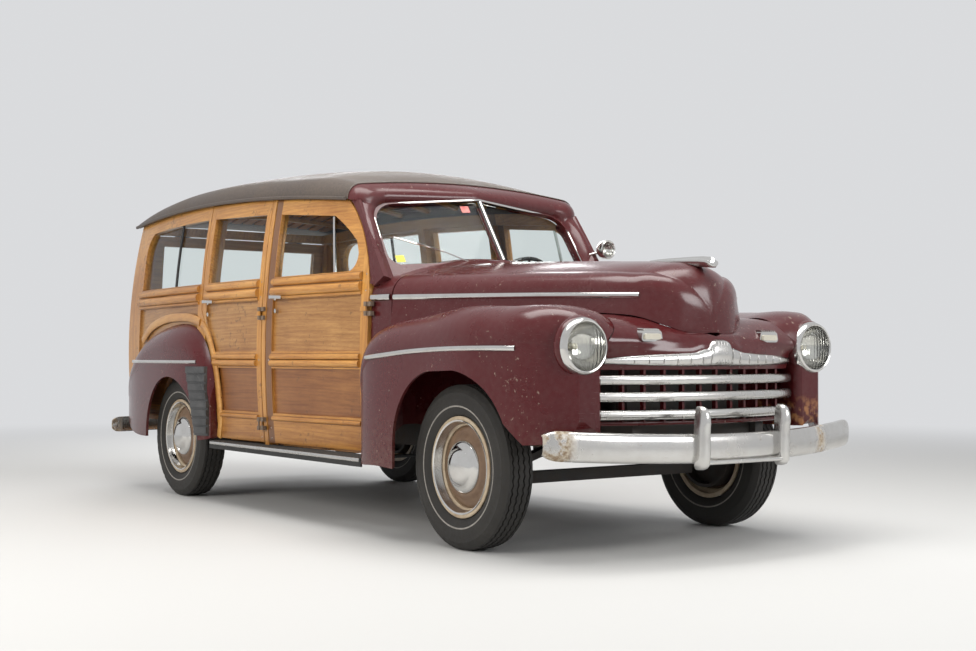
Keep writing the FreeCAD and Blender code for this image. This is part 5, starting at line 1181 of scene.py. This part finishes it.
def lamps():
    """Headlamps with fluted glass, parking lamps, spot lamp and tail lamps."""
    rims = []
    bowls = []
    glasses = []
    bulbs = []
    shells = []
    park_glass = []
    tails = []
    for s in SIDES.values():
        centre = at(s * HEADLAMP[0], *HEADLAMP[1:])
        rims.append(turned(HEADLAMP_RIM, centre, FORWARD, 84))
        bowls.append(turned(HEADLAMP_BOWL, centre, FORWARD, 64))
        glasses.append(turned(HEADLAMP_GLASS, centre, FORWARD, 96))
        bulbs.append(turned([(0, -20), (9, -22), (14, -30), (12, -44), (12, -50)], centre, FORWARD, 24))
        shells.append(turned(HEADLAMP_SHELL, centre, FORWARD, 64))
    spot = at(*SPOT_LAMP)
    rims.append(turned(SPOT_SHELL, spot, FORWARD, 48))
    glasses.append(turned([(45, 26), (30, 32), (0, 34), (0, 31), (30, 29), (44, 24)], spot, FORWARD, 48))
    bowls.append(turned([(44, 24), (34, 4), (16, -12), (0, -15)], spot, FORWARD, 40))
    stalk = [at(722, 832, 1400), at(690, 880, 1388), at(662, 905, 1379)]
    rims.append(swept(stalk, round_section(8), UPWARD))
    outline = rounded_loop([(-62, -24), (62, -24), (52, 25), (-52, 25)], [14, 14, 16, 16], 5)
    pane = rounded_loop([(-48, -15), (48, -15), (42, 12), (-42, 12)], [8, 8, 8, 8], 4)
    for s in SIDES.values():
        u = s * PARKING_U
        for k in range(-3, 4):
            rib = [at(u + k * 13, y, z) for y, z in ((-712, 938), (-700, 941), (-672, 942))]
            rims.append(swept(rib, round_section(3.4, 6), UPWARD))
        rims.append(slab([at(u + a, -640, PARKING_Z + b) for a, b in outline],
                         [at(u + a * 0.97, -716, PARKING_Z - 1 + b * 0.93) for a, b in outline]))
        park_glass.append(slab([at(u + a, -700, PARKING_Z - 2 + b) for a, b in pane],
                               [at(u + a * 0.94, -724, PARKING_Z - 2 + b * 0.88) for a, b in pane]))
    for s in SIDES.values():
        back = at(s * TAIL_LAMP[0], rear_y(TAIL_LAMP[1]) - 4, TAIL_LAMP[1])
        rims.append(turned([(0, 0), (46, 0), (46, 10), (38, 34), (34, 40), (30, 38)], back, REARWARD, 48))
        tails.append(turned([(33, 34), (26, 44), (10, 50), (0, 51)], back, REARWARD, 40))
    metal = piece("lamp_rims", rims, BRIGHT, "body")
    piece("lamp_housings", shells, LACQUER, "body")
    piece("lamp_reflectors", bowls, BRIGHT, "body")
    piece("lamp_bulbs", bulbs, CREAM_LENS, "body")
    piece("parking_lenses", park_glass, CREAM_LENS, "body")
    piece("tail_lenses", tails, TAIL_RED, "body")
    lenses = piece("fluted_lenses", glasses, LAMP_GLASS, "body")
    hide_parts("lamps")
    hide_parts("lamp_lenses")


nose_skin()
grille_bars()
lamps()


# Bumpers, ornament and step edges

# Section of a bumper: height as a share of its half, and millimetres outward
BUMPER_SECTION = [(1.0, -17), (1.0, -3), (0.93, 5), (0.74, 11), (0.42, 14), (0, 15), (-0.42, 14),
                  (-0.74, 11), (-0.93, 5), (-1.0, -3), (-1.0, -17), (-0.9, -17), (-0.9, -2), (-0.5, 5),
                  (0.5, 5), (0.9, -2), (0.9, -17)]


def bumper(name, y_mid, half, sag, z_mid, lift, height, face):
    """A bowed bar with a rounded face and turned ends: sag is its bow, positive forward."""
    radius = (half * half + sag * sag) / (2 * abs(sag))
    forward = -1 if sag > 0 else 1
    rows = []
    count = 72
    for i in range(count + 1):
        part = -1 + 2 * i / count
        u = half * math.sin(part * math.pi / 2 * 0.985) / math.sin(math.pi / 2 * 0.985)
        back = radius - math.sqrt(radius ** 2 - u * u)
        end = max(0.0, (abs(u) - (half - 70)) / 70)
        size = height / 2 * (1 - 0.34 * end ** 3)
        rise = lift * (u / half) ** 2
        out = Vector((u / radius, forward * math.sqrt(1 - (u / radius) ** 2), 0))
        centre = at(u, y_mid - forward * back, z_mid + rise) - out * (0.012 * end ** 2)
        rows.append([centre + Vector((0, 0, a * size / 1000)) + out * (b * face / 1000)
                     for a, b in BUMPER_SECTION])
    bar = piece(name + "_bar", [loft(rows)], BUMPER_PLATE, "body", 50)
    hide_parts(name)


GUARD_SECTION = [(-1, 0), (-1, 0.55), (-0.8, 0.85), (-0.4, 1), (0.4, 1), (0.8, 0.85), (1, 0.55), (1, 0)]
GUARD_U = 233
GUARD_BACK_Y = -868.0


def bumper_guards():
    """Two upright guards, the bar that ties them and the irons of the front bumper."""
    parts = []
    for s in SIDES.values():
        rows = []
        for z, half, front in ((374, 14, -892), (380, 22, -906), (394, 27, -916), (430, 28, -920),
                               (500, 28, -922), (545, 27, -924), (560, 25, -928), (590, 22, -926),
                               (612, 18, -918), (624, 13, -906), (629, 6, -892)):
            rows.append([at(s * GUARD_U + a * half, GUARD_BACK_Y + (front - GUARD_BACK_Y) * b, z)
                         for a, b in GUARD_SECTION])
        parts.append(loft(rows))
    tie = [at(u, -902, 402) for u in range(-236, 237, 59)]
    parts.append(swept(tie, round_section(9), FORWARD))
    piece("bumper_guards", parts, DULL_BRIGHT, "body", 50)
    irons = []
    for s in SIDES.values():
        irons.append(swept([at(s * 300, -640, 440), at(s * 300, -760, 448), at(s * 300, -852, 452)],
                           [(8, -26), (8, 26), (-8, 26), (-8, -26)], UPWARD))
    piece("bumper_irons", irons, IRON_BLACK, "body")


ORNAMENT_SECTION = [(0.55, -0.9), (0.94, -0.35), (1, 0.05), (0.86, 0.4), (0.5, 0.55), (0.2, 0.72), (0, 1),
                    (-0.2, 0.72), (-0.5, 0.55), (-0.86, 0.4), (-1, 0.05), (-0.94, -0.35), (-0.55, -0.9)]


def ornament():
    """Bright hood ornament: a flat wing that widens and rounds off in front."""
    rows = []
    for y, half, z, high in ((-329, 2, 1262, 3), (-380, 9, 1258, 12), (-450, 17, 1253, 20),
                             (-530, 24, 1248, 26), (-600, 29, 1244, 31), (-660, 32, 1240, 34),
                             (-700, 33, 1236, 34), (-718, 31, 1234, 31), (-727, 24, 1233, 24),
                             (-730, 10, 1232, 12)):
        z -= 9
        rows.append([at(a * half, y, z + b * high * 0.72) for a, b in ORNAMENT_SECTION])
    wing = piece("bonnet_wing", [loft(rows)], BRIGHT, "hood", 35)
    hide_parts("hood_ornament")


STEP_TOP = 356.0


def step_edges():
    """Bright edge strips and rubber ribs of the running boards."""
    edge_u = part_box("running_boards")[1][0] * 1000
    edge = [(edge_u - 1, y, STEP_TOP - 12) for y in range(720, 2372, 30)]
    strips = on_both_sides(edge, half_round(20, 7), (0, 0.1))
    piece("step_edge_strips", strips, DULL_BRIGHT, "body")
    ribs = []
    for s in SIDES.values():
        for k in range(7):
            path = [at(s * (edge_u - 18 - 16 * k), y, STEP_TOP) for y in range(730, 2362, 60)]
            ribs.append(swept(path, half_round(8, 2), UPWARD))
    piece("step_ribs", ribs, SEAL_BLACK, "body")


bumper("front_bumper", -883, 892, 188, 456.5, 29, 118, 1.0)
bumper("rear_bumper", 4083, 860, -150, 383, 0, 98, 0.8)
bumper_guards()
ornament()
step_edges()


# Wheels and tyres

TYRE_R = 355.0
TREAD_HALF = 59.0
TREAD_STEPS = 120


def tyre_rows():
    """Tyre section turned about the axle: zigzag grooves, shoulder blocks and side rings."""
    side = [(220, 56), (232, 67), (250, 75), (276, 79.5), (300, 79), (316, 76.5), (320, 77.6), (324, 76)]
    shoulder = [(331, 74), (339, 70), (346, 64)]
    grooves = (-42.0, -14.0, 14.0, 42.0)
    rows = []
    for k in range(TREAD_STEPS):
        zig = 3.2 if k % 2 else -3.2
        profile = [(r, -u) for r, u in side]
        notch = 5.0 if k % 4 == 0 else 0.0
        profile += [(r - notch, -u) for r, u in shoulder]
        profile.append((TYRE_R - 2.5, -TREAD_HALF))
        for g in grooves:
            u = g + zig
            profile += [(TYRE_R - 0.4, u - 4.2), (TYRE_R - 7.5, u - 3), (TYRE_R - 7.5, u + 3),
                        (TYRE_R - 0.4, u + 4.2)]
        profile.append((TYRE_R - 2.5, TREAD_HALF))
        profile += [(r - notch, u) for r, u in reversed(shoulder)]
        profile += [(r, u) for r, u in reversed(side)]
        rows.append(profile)
    return rows


def make_tyre(name, centre, body):
    """One tyre with its tread and thin bright side line."""
    ring = []
    for k, profile in enumerate(tyre_rows()):
        angle = 2 * math.pi * k / TREAD_STEPS
        out = Vector((0, math.cos(angle), math.sin(angle)))
        ring.append([centre + out * (r / 1000) + Vector((u / 1000, 0, 0)) for r, u in profile])
    ring.append(ring[0])
    tyre = piece("tread_" + name, [grid(ring)], TYRE_BLACK, body, 35)
    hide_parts("tyre_" + name)
    lines = []
    for s in (-1, 1):
        lines.append(turned([(258, s * 77.3), (259.5, s * 78.6), (263, s * 79.2), (265, s * 78.2)], centre,
                            (1, 0, 0), 96))
    piece("side_line_" + name, lines, LINE_WHITE, body)


# Lathe profiles of the wheel: radius and distance outward from its middle plane, in millimetres
RIM = [(206, -56), (218, -57), (218, -64), (198, -62), (198, -34), (178, -22), (178, 22), (198, 34),
       (198, 62), (203, 66), (214, 66), (218.5, 63), (218.5, 57), (206, 56)]
TRIM_RING = [(190, 31), (196, 38), (198.5, 52), (199, 62), (204, 67), (203, 69), (196, 66), (193, 50),
             (186, 33)]
DISC = [(180, -4), (180, 10), (172, 17), (160, 20), (148, 22), (136, 30), (128, 38), (118, 43), (112, 42),
        (100, 40), (60, 40), (60, 20), (140, 4), (166, -6)]
HUB_CAP = [(111, 40), (113.5, 44), (112, 50), (106, 56), (96, 60), (84, 63), (78, 68), (72, 76), (60, 82),
           (40, 85.5), (20, 87), (0, 87.5)]
DRUM = [(46, -58), (46, -30), (150, -30), (150, -84), (166, -84), (166, -6), (100, 0), (46, 0)]


def make_wheel(name, centre, side, body):
    """Pressed wheel: tan rim, brown disc, bright trim ring, plain domed cap and the drum behind."""
    out = (side, 0, 0)
    rim = turned(RIM, centre, out, 96)
    band = turned(TRIM_RING, centre, out, 96)
    disc = turned(DISC, centre, out, 96)
    cap = turned(HUB_CAP, centre, out, 96)
    back = turned(DRUM, centre, out, 64)
    rim_piece = piece("rim_" + name, [rim], RIM_TAN, body)
    piece("disc_" + name, [disc], DISC_BROWN, body)
    piece("hub_cap_" + name, [cap, band], BRIGHT, body)
    piece("drum_" + name, [back], IRON_BLACK, body)
    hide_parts("wheel_" + name)


AXLES = (("front", 736.5, 0.0), ("rear", 762.0, 2896.0))
for axle, half_track, axle_y in AXLES:
    for label, s in SIDES.items():
        hub = at(s * half_track, axle_y, TYRE_R)
        make_tyre(f"{axle}_{label}", hub, f"{axle}_wheel_{label}")
        make_wheel(f"{axle}_{label}", hub, s, f"{axle}_wheel_{label}")


# Wooden side: arch moulding, handles, screws and window bars

ARCH_LINE = [(2377, 372), (2340, 509), (2372, 751), (2469, 933), (2560, 1010), (2700, 1050), (2874, 1063),
             (3138, 1057), (3389, 1012), (3560, 930)]
DOOR_ARCH_END = 2572
QUARTER_ARCH = (2594, 3570)


def arch_moulding():
    """Pale bent moulding over the rear wing: one length on the rear door, one on the body."""
    knots = list(range(len(ARCH_LINE)))
    curve_y = spline(knots, [y for y, z in ARCH_LINE])
    curve_z = spline(knots, [z for y, z in ARCH_LINE])
    section = [(24, -2), (24, 5), (18, 9), (-18, 9), (-24, 5), (-24, -2)]
    quarter_parts = []
    door_parts = {}
    for label, s in SIDES.items():
        on_door = []
        on_quarter = []
        for k in range(91):
            t = knots[-1] * k / 90
            y = curve_y(t)
            z = curve_z(t)
            point = at(s * (side_u(y, z) - 2), y, z)
            if y <= DOOR_ARCH_END:
                on_door.append(point)
            if QUARTER_ARCH[0] < y <= QUARTER_ARCH[1]:
                on_quarter.append(point)
        door_parts[label] = swept(on_door, section, (s, 0, 0))
        quarter_parts.append(swept(on_quarter, section, (s, 0, 0)))
    piece("wing_arch_moulding", quarter_parts, TRIM_WOOD, "body")
    for label, part in door_parts.items():
        piece("door_arch_moulding_" + label, [part], TRIM_WOOD, "rear_door_" + label)


def door_fittings():
    """Handles and locks of the doors."""
    for label, s in SIDES.items():
        for door, y, z in (("front", 1700, 1142), ("rear", 2496, 1142)):
            u = side_u(y, z)
            out = (s, 0, 0)
            boss_at = at(s * (u + 4), y, z)
            lock_at = at(s * (side_u(y, z - 72) - 1), y, z - 72)
            boss = turned([(0, 0), (17, 0), (17, 4), (11, 9), (9, 34), (0, 36)], boss_at, out, 28)
            grip = [at(s * (u + 34), y + 8, z + 2), at(s * (u + 40), y - 30, z),
                    at(s * (u + 38), y - 80, z - 2), at(s * (u + 30), y - 118, z - 4)]
            grip = swept(grip, [(8, -5), (9, 0), (8, 5), (-8, 5), (-9, 0), (-8, -5)], out)
            lock = turned([(0, 0), (12, 0), (12, 4), (8, 7), (0, 8)], lock_at, out, 24)
            piece(f"{door}_handle_{label}", [boss, grip, lock], BRIGHT, f"{door}_door_{label}")


def screw_heads():
    """Dulled screw heads on rails and posts."""
    rows = {"front_door": [], "rear_door": [], "body": []}
    for z in (1230, 1150, 810, 450, 395):
        rows["front_door"] += [(895, z), (1760, z)]
        rows["rear_door"] += [(1866, z)]
    for z in (1230, 1150):
        rows["rear_door"] += [(2552, z)]
        rows["body"] += [(2620, z), (3690, z)]
    for z in (1540, 1400, 1300):
        rows["body"] += [(3700, z)]
    for label, s in SIDES.items():
        for owner, spots in rows.items():
            parts = []
            for y, z in spots:
                head_at = at(s * (side_u(y, z) - 0.2), y, z)
                parts.append(turned([(0, 1.6), (3.2, 1.2), (4.6, 0)], head_at, (s, 0, 0), 12))
            body = "body" if owner == "body" else f"{owner}_{label}"
            piece(f"screws_{owner}_{label}", parts, DULL_BRIGHT, body)


QUARTER_BAR_Y = 3040
VENT_BAR = ((1183, 1252), (1206, 1380), (1232, 1500), (1243, 1548))


def window_bars():
    """Vent bars of the front doors and dividers of the quarter panes."""
    for label, s in SIDES.items():
        out = (s, 0, 0)
        vent = [at(s * (side_u(y, z) - 16), y, z) for y, z in VENT_BAR]
        vent = swept(vent, [(9, -4), (9, 4), (-9, 4), (-9, -4)], out)
        piece("vent_bar_" + label, [vent], BRIGHT, "front_door_" + label)
        divider = [at(s * (side_u(QUARTER_BAR_Y, z) - 16), QUARTER_BAR_Y, z)
                   for z in (1252, 1380, 1500, drip_z(QUARTER_BAR_Y) - 84)]
        divider = swept(divider, [(11, -4), (11, 4), (-11, 4), (-11, -4)], out)
        piece("quarter_bar_" + label, [divider], SEAL_BLACK, "body")


arch_moulding()
door_fittings()
screw_heads()
window_bars()


# Cabin

def padded_block(name, low, high, crown):
    """A crowned cushion between two corners, its sides pulled in and its top swelled."""
    size = high - low
    middle = (low + high) / 2
    mesh = bmesh.new()
    bmesh.ops.create_cube(mesh, size=1.0)
    bmesh.ops.subdivide_edges(mesh, edges=mesh.edges, cuts=9, use_grid_fill=True)
    for vertex in mesh.verts:
        x, y, z = vertex.co * 2
        round_x = x * math.sqrt(max(0.0, 1 - 0.10 * y * y - 0.16 * z * z))
        round_y = y * math.sqrt(max(0.0, 1 - 0.06 * x * x - 0.22 * z * z))
        round_z = z * (1 - 0.22 * (x ** 6 + y ** 6) / 2) * (1 + crown * (1 - x * x) * (1 - y * y))
        channel = 0.012 * abs(math.sin(x * 11.0)) if z > 0.9 else 0
        vertex.co = Vector((middle.x + round_x * size.x / 2, middle.y + round_y * size.y / 2,
                            middle.z + round_z * size.z / 2 - channel * size.z))
    data = bpy.data.meshes.new(name)
    mesh.to_mesh(data)
    mesh.free()
    obj = bpy.data.objects.new(name, data)
    bpy.context.scene.collection.objects.link(obj)
    return obj


def lean(obj, angle, pivot):
    """Tip a back rest about a line across the car."""
    turn = Matrix.Translation(pivot) @ Matrix.Rotation(angle, 4, "X") @ Matrix.Translation(-pivot)
    obj.data.transform(turn)


# Name, front edge y, underside z, half-width, depth, height of the back, tilt, floor under it
SEAT_ROWS = (("front", 1290, 700, 620, 440, 520, 80, 516), ("middle", 1985, 700, 600, 400, 500, 60, 516),
             ("rear", 2860, 800, 540, 380, 440, 60, 646))


def seats():
    """Three bench seats with crowned cushions and leaning backs on low boxes."""
    bases = []
    pads = []
    for name, y, z, half, deep, back_high, tip, floor_top in SEAT_ROWS:
        end = y + deep
        cushion = padded_block(name + "_cushion", at(-half, y, z), at(half, end - 15, z + 140), 0.06)
        finish_piece(cushion, SEAT_HIDE, "body", 60)
        low = at(-half, end - 20, z + 60)
        back = padded_block(name + "_back_rest", low, at(half, end + 92, z + back_high), 0.03)
        lean(back, -math.atan2(tip - 50, back_high), at(0, end + 20, z + 60))
        finish_piece(back, SEAT_HIDE, "body", 60)
        pads += [cushion, back]
        foot = half - 60
        corners = ((-foot, y + 60), (foot, y + 60), (foot, end - 100), (-foot, end - 100))
        low = [at(u, v, floor_top) for u, v in corners]
        high = [p + Vector((0, 0, (z + 4 - floor_top) / 1000)) for p in low]
        bases.append(slab(low, high))
    base = raw_mesh("seat_boxes", *joined(bases))
    bevelled(base, 8)
    finish_piece(base, FLOOR_DARK, "body")
    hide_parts("seats")


def headliner():
    """Slats and cross bows under the roof."""
    parts = []
    for k in range(-7, 8):
        u0 = k * 84.0
        path = []
        for j in range(31):
            y = 1180 + (3700 - 1180) * j / 30
            crown, centre = roof_section(y)[3:]
            path.append(at(u0, y, centre + math.sqrt(crown * crown - u0 * u0) - 34))
        parts.append(swept(path, [(32, -5), (32, 4), (-32, 4), (-32, -5)], UPWARD))
    piece("headliner_slats", parts, LINING_WOOD, "body")
    bows = []
    for y in (1240, 1560, 1880, 2200, 2520, 2840, 3160, 3480):
        row = roof_row(y, -52.0, 20)[6:-6]
        bows.append(swept(row, [(18, -14), (18, 8), (-18, 8), (-18, -14)], UPWARD))
    piece("roof_bows", bows, TRIM_WOOD, "body")


seats()
headliner()


# Floor, light and camera

BACKDROP_TINT = (0.90, 0.91, 0.93, 1.0)
BACKDROP_LEVEL = 0.78
WORLD_LIGHT = 0.42
FLOOR_HALF = 40.0
FADE = (3.4, 11.0)
CAMERA_PLACE = (-4171.7, -4867.7, 829.8)
CAMERA_YAW = math.radians(35.878)
CAMERA_PITCH = math.radians(1.282)
FOCAL_PIXELS = 1378.0
PHOTO_WIDTH = 976.0
SENSOR = 36.0

# Place, aim, power, width, height, colour and whether bright parts mirror it
SOFTBOXES = {
    "overhead_box": ((-0.6, -1.6, 5.6), (0, -0.6, 0.6), 330, 5.0, 3.0, (1.0, 0.99, 0.97), True),
    "side_box": ((-7.0, -1.2, 3.0), (0, 0.2, 0.9), 300, 4.5, 2.4, (1.0, 0.98, 0.95), False),
    "front_box": ((1.6, -7.6, 3.2), (0, -1.8, 0.8), 230, 3.6, 2.2, (0.98, 0.99, 1.0), True),
    "rear_box": ((3.5, 6.4, 3.6), (0, 1.5, 0.9), 220, 4.0, 2.4, (0.98, 0.99, 1.0), True),
}


def seen_directly(tree):
    """1 where the eye, a mirror or a pane looks at the backdrop, 0 for its light."""
    path = place(tree, "ShaderNodeLightPath").outputs
    seen = calculate(tree, "MAXIMUM", path["Is Camera Ray"], path["Is Glossy Ray"])
    return calculate(tree, "MAXIMUM", seen, path["Is Transmission Ray"])


def studio_floor():
    """Pale floor that fades into the backdrop."""
    h = FLOOR_HALF
    floor = raw_mesh("studio_floor", [(-h, -h, 0), (h, -h, 0), (h, h, 0), (-h, h, 0)], [(0, 1, 2, 3)])
    f = Finish("studio_floor")
    cloud = f.add("ShaderNodeTexNoise", {"Scale": 1.4, "Detail": 6.0}).outputs["Fac"]
    f.done(Base_Color=f.mix(cloud, (0.55, 0.545, 0.53), (0.60, 0.595, 0.58)), Roughness=0.7)
    away = f.add("ShaderNodeVectorMath", {0: f.position}, operation="LENGTH").outputs["Value"]
    far = f.add("ShaderNodeMapRange", {"Value": away, "From Min": FADE[0], "From Max": FADE[1]},
                interpolation_type="SMOOTHSTEP").outputs[0]
    glow = f.add("ShaderNodeEmission", {"Color": BACKDROP_TINT, "Strength": BACKDROP_LEVEL})
    mixed = f.add("ShaderNodeMixShader", {0: f.times(far, seen_directly(f.tree)), 1: f.shader.outputs[0],
                                          2: glow.outputs[0]})
    f.tree.links.new(mixed.outputs[0], f.tree.nodes["Material Output"].inputs["Surface"])
    floor.data.materials.append(f.material)


def studio_world():
    """Soft light from all round, brighter where it is looked at."""
    world = bpy.data.worlds.new("studio")
    world.use_nodes = True
    tree = world.node_tree
    background = tree.nodes["Background"]
    strength = place(tree, "ShaderNodeMapRange", {"Value": seen_directly(tree), "To Min": WORLD_LIGHT,
                                                  "To Max": BACKDROP_LEVEL})
    tree.links.new(strength.outputs[0], background.inputs["Strength"])
    background.inputs["Color"].default_value = BACKDROP_TINT
    bpy.context.scene.world = world


def studio_lights():
    """Four soft boxes."""
    for name, (spot, aim, power, wide, high, colour, mirrored) in SOFTBOXES.items():
        data = bpy.data.lights.new(name, "AREA")
        data.shape = "RECTANGLE"
        data.size = wide
        data.size_y = high
        data.energy = power
        data.color = colour
        lamp = bpy.data.objects.new(name, data)
        bpy.context.scene.collection.objects.link(lamp)
        lamp.location = spot
        lamp.visible_glossy = mirrored
        lamp.rotation_euler = (Vector(aim) - Vector(spot)).to_track_quat("-Z", "Y").to_euler()


def photo_camera():
    """The photograph's camera."""
    data = bpy.data.cameras.new("photo_camera")
    data.sensor_width = SENSOR
    data.lens = FOCAL_PIXELS / PHOTO_WIDTH * SENSOR
    data.clip_end = 200.0
    camera = bpy.data.objects.new("photo_camera", data)
    bpy.context.scene.collection.objects.link(camera)
    level = math.cos(CAMERA_PITCH)
    forward = Vector((math.sin(CAMERA_YAW) * level, math.cos(CAMERA_YAW) * level, math.sin(CAMERA_PITCH)))
    right = Vector((math.cos(CAMERA_YAW), -math.sin(CAMERA_YAW), 0))
    turn = Matrix((right, right.cross(forward), -forward)).transposed().to_4x4()
    camera.matrix_world = Matrix.Translation(at(*CAMERA_PLACE)) @ turn
    bpy.context.scene.camera = camera


studio_floor()
studio_world()
studio_lights()
photo_camera()
bpy.context.scene.view_settings.view_transform = "Standard"
